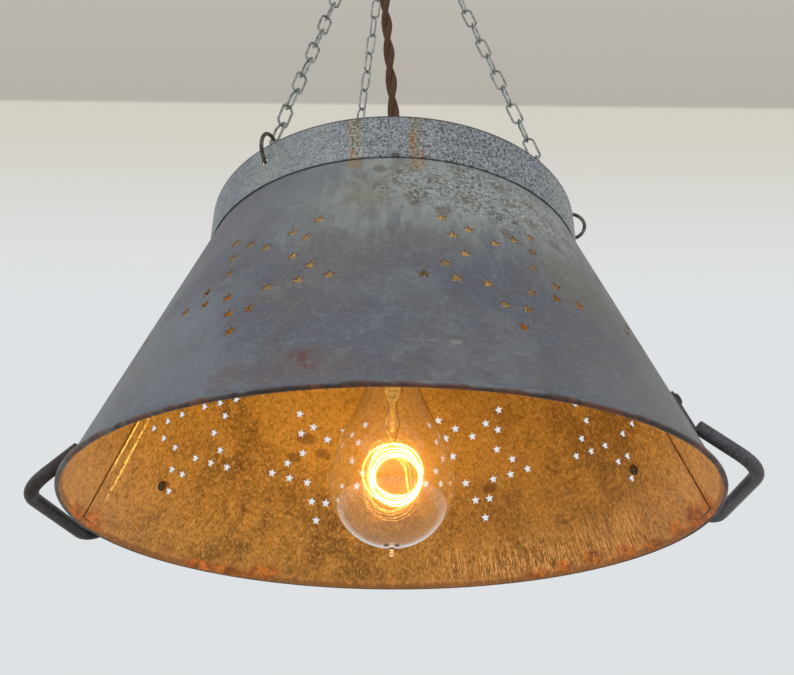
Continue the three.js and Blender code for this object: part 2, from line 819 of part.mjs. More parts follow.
// Nipple through the base plate, with its washer, nut and cord grip
const nippleTop = plateTop + NIPPLE_ABOVE;
const sleeve = (outer, inner, from, to) =>
  turned([
    [inner, from],
    [outer, from],
    [outer, to],
    [inner, to],
  ]);
const threadBore = NIPPLE_RADIUS + GAP;
add(
  shade,
  "nipple",
  sleeve(NIPPLE_RADIUS, NIPPLE_BORE, PLATE_LEVEL - NIPPLE_BELOW, nippleTop),
  BRASS,
);
const washerFrom = plateTop + GAP;
const nutFrom = washerFrom + WASHER + GAP;
const gripFrom = nutFrom + NUT + GAP;
const gripTo = plateTop + GRIP_TOP;
add(
  shade,
  "nipple_washer",
  sleeve(WASHER_RADIUS, threadBore, washerFrom, washerFrom + WASHER),
  STEEL,
);
add(
  shade,
  "nipple_nut",
  solid(post(NUT_RADIUS, nutFrom, nutFrom + NUT, 6)).subtract(
    solid(post(threadBore, nutFrom - NUT, nutFrom + 2 * NUT)),
  ),
  BRASS,
);
add(
  shade,
  "cord_grip",
  turned(
    [
      [threadBore, gripFrom],
      [GRIP_RADIUS, gripFrom],
      [GRIP_RADIUS, gripTo - 9],
      [GRIP_RADIUS - 1.6, gripTo],
      [NIPPLE_BORE, gripTo],
      [NIPPLE_BORE, nippleTop + GAP],
      [threadBore, nippleTop + GAP],
    ],
    16,
  ),
  BLACK_PLASTIC,
);

// Lampholder: cap, skirt, insulator, screw shell, centre contact and terminal screws
const holderTop = PLATE_LEVEL - GAP;
const capEnd = holderTop - HOLDER_CAP_HEIGHT;
const skirtTop = capEnd - GAP;
const skirtEnd = skirtTop - HOLDER_SKIRT_HEIGHT;
const holderInner = HOLDER_RADIUS - HOLDER_WALL;
const coreTop = capEnd - 1;
const coreEnd = coreTop - 16;
const contactEnd = coreEnd - 3.6;
{
  const collarRadius = 9;
  const roof = holderTop - 7;
  add(
    shade,
    "lampholder_cap",
    turned(
      [
        [threadBore, roof - HOLDER_WALL],
        [collarRadius, roof - HOLDER_WALL],
        [holderInner, roof - 9],
        [holderInner, capEnd],
        [HOLDER_RADIUS, capEnd],
        [HOLDER_RADIUS, roof - 7],
        [HOLDER_RADIUS - 4, roof - 2],
        [collarRadius, roof],
        [collarRadius, holderTop],
        [threadBore, holderTop],
      ],
    ),
    BLACK_PLASTIC,
  );
  add(
    shade,
    "lampholder_skirt",
    turned(
      [
        [holderInner, skirtTop],
        [holderInner - 1.2, skirtTop - SKIRT_STEP],
        [holderInner - 1.2, skirtEnd],
        [HOLDER_RADIUS - 1.2, skirtEnd],
        [HOLDER_RADIUS - 1.2, skirtTop - SKIRT_STEP],
        [HOLDER_RADIUS, skirtTop],
      ],
    ),
    BLACK_PLASTIC,
  );
  const core = solid(
    post(holderInner - GAP - 1.2, coreEnd, coreTop, 20),
  );
  const pinHole = solid(post(1.5 + GAP, coreEnd - 1, coreEnd + 9, 10));
  add(shade, "lampholder_insulator", core.subtract(pinHole), CERAMIC);
  const shellTop = coreEnd - GAP;
  const shellEnd = BULB_NECK_LEVEL + 4;
  add(
    shade,
    "screw_shell",
    turned(
      [
        [SHELL_RADIUS - SHELL_WALL, shellEnd],
        [SHELL_RADIUS, shellEnd],
        [SHELL_RADIUS, shellTop],
        [6, shellTop],
        [6, shellTop - SHELL_WALL],
        [SHELL_RADIUS - SHELL_WALL, shellTop - SHELL_WALL],
      ],
    ),
    BRASS,
  );
  add(
    shade,
    "centre_contact",
    join(
      solid(post(1.5, contactEnd + 0.3, coreEnd + 8, 8)),
      solid(post(4, contactEnd, contactEnd + 0.8, 10)),
    ),
    BRASS,
  );
  for (const [side, x] of [
    ["left", -9],
    ["right", 9],
  ])
    add(
      shade,
      "terminal_screw_" + side,
      post(2.4, coreTop + GAP, coreTop + GAP + 3.2, 8, x),
      BRASS,
    );
}

// Leads from the cord through the nipple to the terminal screws
for (const [side, way] of [
  ["left", -1],
  ["right", 1],
]) {
  const inNipple = way * 1.8;
  const path = new THREE.CatmullRomCurve3(
    [
      v3(inNipple, 0, gripTo - 0.5),
      v3(inNipple, 0, nippleTop),
      v3(inNipple, 0, PLATE_LEVEL - NIPPLE_BELOW - 1),
      v3(way * 4, 0, PLATE_LEVEL - NIPPLE_BELOW - 6),
      v3(way * 9, 0, coreTop + 8),
      v3(way * 9, 0, coreTop + 2 * GAP + 3.2),
    ],
    false,
    "centripetal",
  );
  add(shade, "lead_" + side, tube(path, LEAD_RADIUS, 5, 10), CLOTH);
}

// Bulb
const capTop = BULB_NECK_LEVEL + CAP_LENGTH;
{
  const glassBelow = BULB_CENTRE - BULB_RADIUS;
  const neckWide = BULB_NECK_RADIUS + 2;
  // Outer face from the tip up: the tip, the round part, then the neck as a spline.
  const tip = [
    [0, glassBelow - TIP_LENGTH],
    [1.3, glassBelow - TIP_LENGTH + 0.8],
    [1.5, glassBelow - 3],
    [3, glassBelow - 0.6],
  ];
  const globe = Array.from({ length: 6 }, (_, i) => {
    const turn = rad(-82 + 17.6 * i);
    return [
      BULB_RADIUS * Math.cos(turn),
      BULB_CENTRE + BULB_RADIUS * Math.sin(turn),
    ];
  });
  const neckLine = new THREE.SplineCurve([
    ...BULB_SHOULDER.map((p) => v2(...p)),
    v2(neckWide, BULB_NECK_LEVEL - 2),
  ]);
  const neck = neckLine.getPoints(6).map((p) => [p.x, p.y]);
  const inCap = [
    [BULB_NECK_RADIUS, BULB_NECK_LEVEL],
    [BULB_NECK_RADIUS, BULB_NECK_LEVEL + 8],
  ];
  const outer = [...tip, ...globe, ...neck, ...inCap];
  const inner = [...globe, ...neck, ...inCap]
    .map(([r, z]) => [Math.max(r - GLASS, 0), z + (z < BULB_CENTRE ? GLASS : 0)])
    .filter(([r]) => r > 4);
  add(
    shade,
    "bulb_glass",
    turned([...outer, ...inner.reverse(), [0, glassBelow + GLASS]]),
    CLEAR_GLASS,
  );
  const waves = 4;
  const wave = CAP_LENGTH / (waves + 1);
  const thread = Array.from({ length: waves }, (_, i) => [
    [CAP_RADIUS, BULB_NECK_LEVEL + wave * (i + 0.6)],
    [CAP_RADIUS - 0.8, BULB_NECK_LEVEL + wave * (i + 1.1)],
  ]).flat();
  const capInner = BULB_NECK_RADIUS + GAP;
  add(
    shade,
    "bulb_cap",
    turned(
      [
        [capInner, BULB_NECK_LEVEL + GAP],
        [CAP_RADIUS - 0.4, BULB_NECK_LEVEL + GAP],
        ...thread,
        [8.5, capTop],
        [7, capTop],
        [7, capTop - 1.5],
        [capInner, capTop - CAP_WALL - 3.5],
      ],
    ),
    BRASS,
  );
  add(
    shade,
    "bulb_cap_insulator",
    turned(
      [
        [0, capTop + GAP],
        [8, capTop + GAP],
        [5, capTop + 3.8],
        [0, capTop + 3.8],
      ],
      16,
    ),
    BLACK_PLASTIC,
  );
  add(
    shade,
    "bulb_contact",
    turned(
      [
        [0, capTop + 3.8 + GAP],
        [4.2, capTop + 3.8 + GAP],
        [3, contactEnd - GAP],
        [0, contactEnd - GAP],
      ],
      12,
    ),
    STEEL,
  );
  // The stem: a glass flare in the neck, drawn out to a rod below
  add(
    shade,
    "bulb_stem",
    turned([
      [0, STEM_ROD_END],
      [STEM_ROD_RADIUS - 0.2, STEM_ROD_END],
      [STEM_ROD_RADIUS, STEM_FLARE - 5],
      [4.6, STEM_FLARE],
      [5.2, STEM_FLARE + 7],
      [BULB_NECK_RADIUS - GLASS - GAP, BULB_NECK_LEVEL + 3],
      [BULB_NECK_RADIUS - GLASS - GAP, BULB_NECK_LEVEL + 5],
      [0, BULB_NECK_LEVEL + 5],
    ]),
    CLEAR_GLASS,
  );
  // The filament: one wire wound in upright loops that turn a little about the bulb's
  // axis from one to the next and stand off it, so that no two meet.
  const standOff = 6.5;
  const startTurn = -60;
  const loopTurn = 38;
  const points = [];
  const perLoop = 16;
  for (let i = 0; i <= FILAMENT_LOOPS * perLoop; i++) {
    const round = (2 * Math.PI * i) / perLoop;
    const flat = v3(FILAMENT_RADIUS * Math.sin(round), standOff, 0);
    flat.applyAxisAngle(UP, rad(startTurn + (loopTurn * i) / perLoop));
    flat.z = FILAMENT_CENTRE + FILAMENT_RADIUS * Math.cos(round);
    points.push(flat);
  }
  const coil = new THREE.CatmullRomCurve3(points);
  add(
    shade,
    "filament",
    tube(coil, FILAMENT_WIRE, 4, FILAMENT_LOOPS * perLoop),
    GLOW,
  );
  const ends = { left: points.at(-1), right: points[0] };
  for (const [side, way] of [
    ["left", -1],
    ["right", 1],
  ]) {
    const end = ends[side].clone();
    end.z += FILAMENT_WIRE + GAP;
    const start = v3(way * (STEM_ROD_RADIUS + GAP + FILAMENT_WIRE), 0, STEM_FLARE - 6);
    const path = new THREE.CatmullRomCurve3([
      start,
      v3(way * 3.2, 0, STEM_FLARE - 13),
      end.clone().lerp(start, 0.4),
      end,
    ]);
    add(shade, "support_wire_" + side, tube(path, FILAMENT_WIRE, 4, 8), STEEL);
  }
}

export default root;
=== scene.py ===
"""A pendant lamp made from an upturned galvanised tub punched with stars.

It dresses the part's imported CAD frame.
Sizes are in millimetres, as in the CAD source, and MM turns them into Blender's metres.
Heights on the shade run up from its rolled rim's centre, which lies at RIM in the shared frame.
Angles round the shade run from the photographed side, -Y, towards +X.
"""

import json
from functools import partialmethod
from math import asin, atan, atan2, copysign, cos, degrees, pi, radians as rad, sin, sqrt

import bpy
from mathutils import Matrix, Vector

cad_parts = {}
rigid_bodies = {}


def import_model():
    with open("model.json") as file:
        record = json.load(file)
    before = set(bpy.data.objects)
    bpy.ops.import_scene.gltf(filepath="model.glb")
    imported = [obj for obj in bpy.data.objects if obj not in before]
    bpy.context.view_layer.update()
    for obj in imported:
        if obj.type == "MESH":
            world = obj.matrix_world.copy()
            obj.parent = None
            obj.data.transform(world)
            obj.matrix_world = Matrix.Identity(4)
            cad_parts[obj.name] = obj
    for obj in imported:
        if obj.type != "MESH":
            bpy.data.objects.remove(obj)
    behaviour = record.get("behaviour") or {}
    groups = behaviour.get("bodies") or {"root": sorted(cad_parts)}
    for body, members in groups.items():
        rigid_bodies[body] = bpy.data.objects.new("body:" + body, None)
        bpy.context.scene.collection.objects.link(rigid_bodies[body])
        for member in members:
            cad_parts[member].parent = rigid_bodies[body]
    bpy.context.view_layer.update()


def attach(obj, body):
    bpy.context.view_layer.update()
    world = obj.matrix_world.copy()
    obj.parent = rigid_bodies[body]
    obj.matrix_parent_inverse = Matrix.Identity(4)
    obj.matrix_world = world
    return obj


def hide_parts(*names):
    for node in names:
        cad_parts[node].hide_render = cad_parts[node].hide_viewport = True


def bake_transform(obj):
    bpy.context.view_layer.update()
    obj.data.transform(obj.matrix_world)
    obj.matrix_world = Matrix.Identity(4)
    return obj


for leftover in list(bpy.data.objects):
    bpy.data.objects.remove(leftover)
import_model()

MM = 0.001
RIM = -788.7
UP = Vector((0, 0, 1))
NOWHERE = (0, 0, 0)

# Sizes shared with the CAD source
GAP = 0.3
THREAD_PITCH = 3.6
SHEET = 0.8
RIM_RADIUS = 195.05
FOOT_RADIUS = 129.7
WALL_HEIGHT = 177.7
WALL_TOP = WALL_HEIGHT + 13
BAND_TOP = WALL_HEIGHT + 31.5
PLATE_LEVEL = 183.5
PLATE_TOP = PLATE_LEVEL + SHEET
GRIP_TOP = PLATE_TOP + 28
BEAD = 1.6
BEAD_CENTRE = RIM_RADIUS + BEAD - SHEET - 0.22  # a round stays inside the CAD's flats
SEAM_ANGLE = 84.8
SLOPE = (RIM_RADIUS - FOOT_RADIUS) / WALL_HEIGHT
LEAN = atan(SLOPE)
CHAINS = {"left": -39.7, "right": 78, "back": 202.5}
RING_TURNS = {"left": 19, "right": 0, "back": 0}
RING_HOLE_LEVEL = BAND_TOP - 12.7
JUMP_RING = 11
JUMP_WIRE = 1.25
LINK_WIRE = 0.9
LINK_HALF_WIDTH = 4
RING_LEVEL = -106.7
RING_RADIUS = 15
RING_WIRE = 2
CORD = 4.9


def added(name, data):
    """Puts a mesh, curve, light or camera in the scene as an object."""
    thing = bpy.data.objects.new(name, data)
    bpy.context.scene.collection.objects.link(thing)
    return thing


def outward(angle):
    return Vector((sin(rad(angle)), -cos(rad(angle)), 0))


def sideways(angle):
    return Vector((cos(rad(angle)), sin(rad(angle)), 0))


def wall_radius(height):
    return RIM_RADIUS - SLOPE * height


def wall_normal(angle):
    return outward(angle) * cos(LEAN) + UP * sin(LEAN)


def wall_up(angle):
    return UP * cos(LEAN) - outward(angle) * sin(LEAN)


def on_wall(angle, height, lift=0.0):
    """Places what is drawn flat, X sideways, Y up the slope and Z out, on the wall."""
    spot = outward(angle) * wall_radius(height) + UP * (RIM + height)
    spot += wall_normal(angle) * lift
    axes = Matrix((sideways(angle), wall_up(angle), wall_normal(angle))).transposed()
    return Matrix.Translation(spot * MM) @ axes.to_4x4()


# Camera, fitted to the rim, the band and the stars


def make_camera():
    focal_pixels, width_pixels, sensor = 839, 794, 36
    pitch, yaw, roll = 0.49923, -0.03571, 0.00284
    forward = Vector((-sin(yaw) * cos(pitch), cos(yaw) * cos(pitch), sin(pitch)))
    level = Vector((cos(yaw), sin(yaw), 0))
    above = level.cross(forward)
    right = level * cos(roll) + above * sin(roll)
    up = above * cos(roll) - level * sin(roll)
    data = bpy.data.cameras.new("photo_camera")
    data.sensor_width = sensor
    data.lens = sensor * focal_pixels / width_pixels
    data.clip_start = 0.02
    data.clip_end = 50
    camera = added("photo_camera", data)
    place = Matrix((right, up, -forward)).transposed().to_4x4()
    place.translation = Vector((-15.35, -510.65, RIM - 150.27)) * MM
    camera.matrix_world = place
    bpy.context.scene.camera = camera


make_camera()

# Modelling helpers


def start():
    """Leaves edit mode and lets go of every piece."""
    if bpy.context.object and bpy.context.object.mode != "OBJECT":
        bpy.ops.object.mode_set(mode="OBJECT")
    bpy.ops.object.select_all(action="DESELECT")


def alone(piece):
    """Makes a piece the only one selected, and the active one."""
    start()
    piece.select_set(True)
    bpy.context.view_layer.objects.active = piece


def open_up(piece):
    """Opens a piece in edit mode with all of it selected."""
    alone(piece)
    bpy.ops.object.mode_set(mode="EDIT")
    bpy.ops.mesh.select_all(action="SELECT")


def settled():
    bpy.ops.object.transform_apply(location=True, rotation=True, scale=True)


def newest(name):
    piece = bpy.context.object
    piece.name = name
    piece.data.name = name
    return piece


def pick(piece, test):
    """Opens a piece with just the edges that pass the test selected."""
    open_up(piece)
    bpy.ops.mesh.select_mode(type="EDGE")
    bpy.ops.mesh.select_all(action="DESELECT")
    bpy.ops.object.mode_set(mode="OBJECT")
    for edge in piece.data.edges:
        edge.select = test(edge)
    bpy.ops.object.mode_set(mode="EDIT")


def tidy(piece, sharp=35, merge=0.005):
    """Merges doubles, points faces outwards and shades by angle."""
    alone(piece)
    settled()
    open_up(piece)
    bpy.ops.mesh.remove_doubles(threshold=merge * MM)
    bpy.ops.mesh.normals_make_consistent(inside=False)
    bpy.ops.object.mode_set(mode="OBJECT")
    bpy.ops.object.shade_smooth_by_angle(angle=rad(sharp))
    return piece


def joined(name, pieces):
    start()
    for piece in pieces:
        piece.select_set(True)
    bpy.context.view_layer.objects.active = pieces[0]
    bpy.ops.object.join()
    return newest(name)


def copy_of(piece, place=None):
    twin = added(piece.name, piece.data.copy())
    if place is not None:
        twin.data.transform(place)
    return twin


def placed_copies(piece, places):
    """A copy at each place, and then no original."""
    copies = [copy_of(piece, place) for place in places]
    bpy.data.objects.remove(piece)
    return copies


def rod(name, sides, radius, depth, place=NOWHERE, turn=NOWHERE):
    """A plain cylinder about its own Z."""
    start()
    bpy.ops.mesh.primitive_cylinder_add(vertices=sides, radius=radius * MM, depth=depth * MM,
        location=Vector(place) * MM, rotation=turn)
    settled()
    return newest(name)


def block(name, size, place):
    """A plain block, by its three widths and its middle."""
    start()
    bpy.ops.mesh.primitive_cube_add(size=1)
    piece = newest(name)
    piece.scale = Vector(size) * MM
    piece.location = Vector(place) * MM
    settled()
    return piece


def modified(piece, kind, **settings):
    alone(piece)
    modifier = piece.modifiers.new(kind.lower(), kind)
    for key, value in settings.items():
        setattr(modifier, key, value)
    bpy.ops.object.modifier_apply(modifier=modifier.name)
    return piece


def cut_away(piece, *cutters):
    """Cuts one or more pieces out of another."""
    cutter = joined("cutter", cutters)
    modified(piece, "BOOLEAN", object=cutter, operation="DIFFERENCE", solver="EXACT")
    bpy.data.objects.remove(cutter)
    return piece


def kept_beyond(piece, normal, offset=0.0):
    """Cuts a piece along a plane, closes the cut and keeps what lies beyond it."""
    open_up(piece)
    bpy.ops.mesh.bisect(plane_co=normal * offset * MM, plane_no=normal, use_fill=True,
        clear_inner=True)
    bpy.ops.object.mode_set(mode="OBJECT")
    return piece


def raised(level, *points):
    """Profile points whose heights count from a level."""
    return [(radius, level + height) for radius, height in points]


def edge_round(radius, height, bend, turns):
    """Points round a bend."""
    return [(radius + bend * cos(rad(t)), height + bend * sin(rad(t))) for t in turns]


POLE = 0.001


def turned(name, profile, base=RIM, sides=96, sharp=35, x=0.0):
    """A circle pulled from ring to ring of a profile of (radius, height) points."""
    rings = [(max(r, POLE), z) for r, z in profile]
    start()
    bpy.ops.mesh.primitive_circle_add(vertices=sides, radius=rings[0][0] * MM,
        location=(x * MM, 0, (base + rings[0][1]) * MM))
    piece = newest(name)
    open_up(piece)
    for (r0, z0), (r1, z1) in zip(rings, rings[1:]):
        bpy.ops.mesh.extrude_region_move(TRANSFORM_OT_translate={"value": (0, 0, (z1 - z0) * MM)})
        middle = (x * MM, 0, (base + z1) * MM)
        bpy.ops.transform.resize(value=(r1 / r0, r1 / r0, 1), center_override=middle)
    return tidy(piece, sharp)


def smooth_line(points, steps):
    """More points along a smooth curve through the given ones."""
    line = []
    last = len(points) - 1
    for i in range(last):
        near = [points[max(i - 1, 0)], points[i], points[i + 1], points[min(i + 2, last)]]
        for k in range(steps):
            t = k / steps
            line.append(tuple(0.5 * (2 * b + (c - a) * t + (2 * a - 5 * b + 4 * c - d) * t * t
                + (3 * b - a - 3 * c + d) * t**3) for a, b, c, d in zip(*near)))
    return [*line, tuple(points[-1])]


def wire(name, points, radius, sides=3):
    """A round wire or bar through points in the shared frame."""
    data = bpy.data.curves.new(name, "CURVE")
    data.dimensions = "3D"
    data.bevel_depth = radius * MM
    data.bevel_resolution = sides
    data.use_fill_caps = True
    spline = data.splines.new("POLY")
    spline.points.add(len(points) - 1)
    for spot, point in zip(spline.points, points):
        spot.co = (*(Vector(point) * MM), 1)
    alone(added(name, data))
    bpy.ops.object.convert(target="MESH")
    return tidy(newest(name), 50)


# Cords: a twisted pair in brown cloth, along the same points as in the CAD source

CORD_TOP = -14.6
CORD_SPLIT = -112
CORD_END = RIM + GRIP_TOP + GAP
CORD_UPPER = [(-26, 0, CORD_TOP), (-26, 0, -30), (-26, 0, -60), (-24.9, 0, -78), (-22.6, 0, -98),
    (-21.2, 0, CORD_SPLIT)]
CORD_LOWER = [(-21.2, 0, CORD_SPLIT), (-19.9, 0, -134), (-14.6, 0, -220), (-9.2, 0, -310),
    (-4.2, 0, -390), (-0.6, 0, -450), (0.8, 0, -495), (0.4, 0, -540), (0, 0, -562),
    (0, 0, CORD_END)]


def cord_line(points, spacing=4.0):
    """Points a few millimetres apart on a smooth curve through the cord's route."""
    dense = [Vector(p) for p in smooth_line(points, 24)]
    line = [dense[0]]
    for point in dense[1:]:
        if (point - line[-1]).length >= spacing:
            line.append(point)
    if (dense[-1] - line[-1]).length < spacing / 2:
        line.pop()
    line.append(dense[-1])
    return line


STRAND = 2.62
STRAND_OFFSET = CORD - STRAND - 0.05
TWIST_PITCH = 68.0


def twisted_pair(name, points, turned_by):
    """Two round strands laid round each other, with their length and girth in a UV map."""
    line = cord_line(points)
    reach = [0.0]
    for a, b in zip(line, line[1:]):
        reach.append(reach[-1] + (b - a).length)
    rows, sides = len(line), 14
    corners, faces, uvs = [], [], []
    for strand in (0, pi):
        first = len(corners)
        for i, point in enumerate(line):
            ahead = (line[min(i + 1, rows - 1)] - line[max(i - 1, 0)]).normalized()
            across = ahead.cross(Vector((0, 1, 0))).normalized()
            side = ahead.cross(across).normalized()
            turn = turned_by + strand + 2 * pi * reach[i] / TWIST_PITCH
            centre = point + STRAND_OFFSET * (across * cos(turn) + side * sin(turn))
            for spin in (turn + 2 * pi * k / sides for k in range(sides)):
                out = across * cos(spin) + side * sin(spin)
                corners.append((centre + out * STRAND) * MM)
        for i in range(rows - 1):
            low, high = reach[i] * 0.1, reach[i + 1] * 0.1
            for k in range(sides):
                row, n = first + i * sides, (k + 1) % sides
                faces.append((row + k, row + n, row + sides + n, row + sides + k))
                u0, u1 = k / sides, (k + 1) / sides
                uvs += [(u0, low), (u1, low), (u1, high), (u0, high)]
        faces.append(tuple(reversed(range(first, first + sides))))
        faces.append(tuple(range(first + (rows - 1) * sides, first + rows * sides)))
        uvs += [(0.5, 0.5)] * (2 * sides)
    data = bpy.data.meshes.new(name)
    data.from_pydata(corners, [], faces)
    layer = data.uv_layers.new(name="cloth")
    for spot, uv in zip(layer.data, uvs):
        spot.uv = uv
    piece = added(name, data)
    open_up(piece)
    bpy.ops.mesh.normals_make_consistent(inside=False)
    bpy.ops.object.mode_set(mode="OBJECT")
    bpy.ops.object.shade_smooth_by_angle(angle=rad(50))
    return piece, [p * MM for p in line], reach[-1] * MM


upper_cord, upper_path, upper_length = twisted_pair("cloth_cord_upper", CORD_UPPER, 0.4)
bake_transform(upper_cord)
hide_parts("cord_upper")
upper_turns = 2 * pi * upper_length / MM / TWIST_PITCH
lower_cord, lower_path, lower_length = twisted_pair("cloth_cord_lower", CORD_LOWER,
    0.4 + upper_turns)
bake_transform(lower_cord)
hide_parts("cord_lower")

# The shade's wall, with its punched stars, seams and rolled rim

STAR_OUTER = 3.9
STAR_INNER = 1.75
CLUSTERS = [(-27.4, 92.1), (18.3, 91.3), (63, 92), (106.2, 95.3), (152.7, 97.8), (198.8, 96.5),
    (242.8, 91.4), (288, 92)]
HANDLE_HALF_SPREAD = 60
TAB = (24, 8.6, 2)
RIVET_HEAD_RADIUS = 3.7
RIVET_HEAD = 1.5
RIVET_RISE = (TAB[0] - 1.5 * RIVET_HEAD_RADIUS) * cos(LEAN)


class HandlePlace:
    """Where a handle stands: its middle, its feet's height and angle, its grip and rivets."""

    def __init__(self, middle, lift):
        self.middle = middle
        self.foot = 30 + lift
        self.grip = 8 + lift
        self.turn = degrees(asin(HANDLE_HALF_SPREAD / wall_radius(self.foot)))
        self.rivet = self.foot + RIVET_RISE


HANDLES = {"right": HandlePlace(SEAM_ANGLE, 3), "left": HandlePlace(SEAM_ANGLE - 180, -3.5)}


def star_corners(outer, inner, turn):
    corners = []
    for i in range(10):
        angle = rad(90 + turn + 36 * i)
        radius = inner if i % 2 else outer
        corners.append(Vector((radius * cos(angle), radius * sin(angle), 0)))
    return corners


def star_punch():
    """A tenpoint circle with every second corner drawn in, pulled into a punch."""
    start()
    bpy.ops.mesh.primitive_circle_add(vertices=10, radius=STAR_OUTER * MM, fill_type="NGON",
        location=(0, 0, -3 * MM))
    punch = newest("star_punch")
    settled()
    for i, corner in enumerate(star_corners(STAR_OUTER, STAR_INNER, 0)):
        punch.data.vertices[i].co.xy = (corner * MM).xy
    open_up(punch)
    bpy.ops.mesh.extrude_region_move(TRANSFORM_OT_translate={"value": (0, 0, 6 * MM)})
    return tidy(punch, 10)


def star_places():
    """Every small star's angle and height: eight big stars, point down, twenty spots each."""
    places = []
    corners = star_corners(46, 20.5, 180)
    for angle, slant in CLUSTERS:
        for i, corner in enumerate(corners):
            for spot in (corner, (corner + corners[(i + 1) % 10]) / 2):
                height = (slant + spot.y) * cos(LEAN)
                turn = degrees(spot.x / wall_radius(height))
                places.append((angle + turn, height))
    return places


STEEP = SHEET / cos(LEAN)


def wall_profile():
    rows = 24
    heights = [2 + (WALL_HEIGHT - 2) * i / rows for i in range(rows + 1)]
    outer = [(wall_radius(h), h) for h in heights] + [(FOOT_RADIUS, WALL_TOP)]
    inner = [(FOOT_RADIUS - SHEET, WALL_TOP)]
    inner += [(wall_radius(h) - STEEP, h) for h in reversed(heights)]
    return outer + inner + edge_round(BEAD_CENTRE, 0, BEAD, range(196, 521, 18)) + outer[:1]


wall = turned("wall", wall_profile(), sides=192, sharp=30)
wall.data.transform(Matrix.Rotation(rad(SEAM_ANGLE), 4, "Z"))
laps = []
half_lap = degrees(11 / wall_radius(WALL_HEIGHT / 2) / 2)
for seam in (SEAM_ANGLE, SEAM_ANGLE - 180):
    lap = copy_of(wall)
    for side in (-1, 1):
        kept_beyond(lap, -side * sideways(seam + side * half_lap))
        kept_beyond(lap, outward(seam))
    kept_beyond(lap, UP, RIM + 1.9)
    lap.data.transform(Matrix.Translation(-outward(seam) * (STEEP + GAP) * MM))
    laps.append(tidy(lap, 30))

holes = [(spot.middle + turn, spot.rivet) for spot in HANDLES.values()
    for turn in (-spot.turn, spot.turn)]
cut_away(wall, *placed_copies(star_punch(), [on_wall(*spot) for spot in star_places()]),
    *placed_copies(rod("rivet_drill", 24, 2.3, 12), [on_wall(*spot) for spot in holes]))
back = copy_of(wall)
wall_front = kept_beyond(wall, sideways(SEAM_ANGLE + 180), GAP / 2)
wall_front = tidy(joined("wall_front_sheet", [wall_front, *laps]), 30)
wall_back = tidy(kept_beyond(back, sideways(SEAM_ANGLE), GAP / 2), 30)
wall_back = newest("wall_back_sheet")

# Foot band, base plate, handles and rivets

BAND_INNER = FOOT_RADIUS + GAP


def band_profile():
    outer = BAND_INNER + SHEET
    half = SHEET / 2
    lift = (outer - 0.12, WALL_HEIGHT)
    rows = [(outer, WALL_HEIGHT + 0.15 + (BAND_TOP - WALL_HEIGHT - 0.6) * i / 6) for i in range(7)]
    crown = edge_round(outer - half, BAND_TOP - half, half, range(0, 181, 30))
    foot = [(BAND_INNER, WALL_HEIGHT + 0.2), (BAND_INNER + 0.12, WALL_HEIGHT)]
    return [lift, *rows, *crown, *foot, lift]


band = turned("foot_band_sheet", band_profile(), sides=192, sharp=40)
drill = rod("ring_drill", 32, 2.5, 20, (0, -BAND_INNER, RIM + RING_HOLE_LEVEL), (rad(90), 0, 0))
turns = [Matrix.Rotation(rad(angle), 4, "Z") for angle in CHAINS.values()]
cut_away(band, *placed_copies(drill, turns))
tidy(band, 40)
FLANGE = FOOT_RADIUS - 2 * SHEET - 2 * GAP


def plate_profile():
    """A shallow dish with its flange up."""
    middle = (FLANGE - 2.4, PLATE_LEVEL + 2.4)
    corner = edge_round(*middle, 2.4, range(270, 361, 15))
    inside = edge_round(*middle, 1.6, range(360, 269, -15))
    lip = raised(WALL_TOP, (FLANGE, -0.3), (FLANGE - 0.3, 0), (FLANGE - SHEET, 0))
    floor = [(60, PLATE_TOP), (5.3, PLATE_TOP), (5.3, PLATE_LEVEL)]
    return [(5.3, PLATE_LEVEL), (60, PLATE_LEVEL), *corner, *lip, *inside, *floor]


plate = turned("base_plate_sheet", plate_profile(), sides=128, sharp=30)

GRIP_REACH = 212.15
GRIP_HALF_LENGTH = 50
GRIP_BEND = 16
BAR = 4.2


def handle_route(place):
    """Points along a bent handle from one foot to the other."""
    out, side = outward(place.middle), sideways(place.middle)
    reach = (wall_radius(place.foot) + GAP + TAB[2] + BAR / 2) * cos(rad(place.turn))
    foot, bend = UP * (RIM + place.foot) + out * reach, UP * (RIM + place.grip) + out * GRIP_REACH
    corners = [foot - side * HANDLE_HALF_SPREAD, bend - side * GRIP_HALF_LENGTH,
        bend + side * GRIP_HALF_LENGTH, foot + side * HANDLE_HALF_SPREAD]
    line = []
    for i in (1, 2):
        before = corners[i] + (corners[i - 1] - corners[i]).normalized() * GRIP_BEND
        after = corners[i] + (corners[i + 1] - corners[i]).normalized() * GRIP_BEND
        for t in (k / 8 for k in range(9)):
            line.append(before * (1 - t) ** 2 + corners[i] * 2 * t * (1 - t) + after * t * t)
    feet = [corners[0], corners[0].lerp(line[0], 0.3), corners[0].lerp(line[0], 0.7)]
    ends = [line[-1].lerp(corners[3], 0.3), line[-1].lerp(corners[3], 0.7), corners[3]]
    return feet + line[:9] + [line[8].lerp(line[9], k / 6) for k in range(1, 6)] + line[9:] + ends


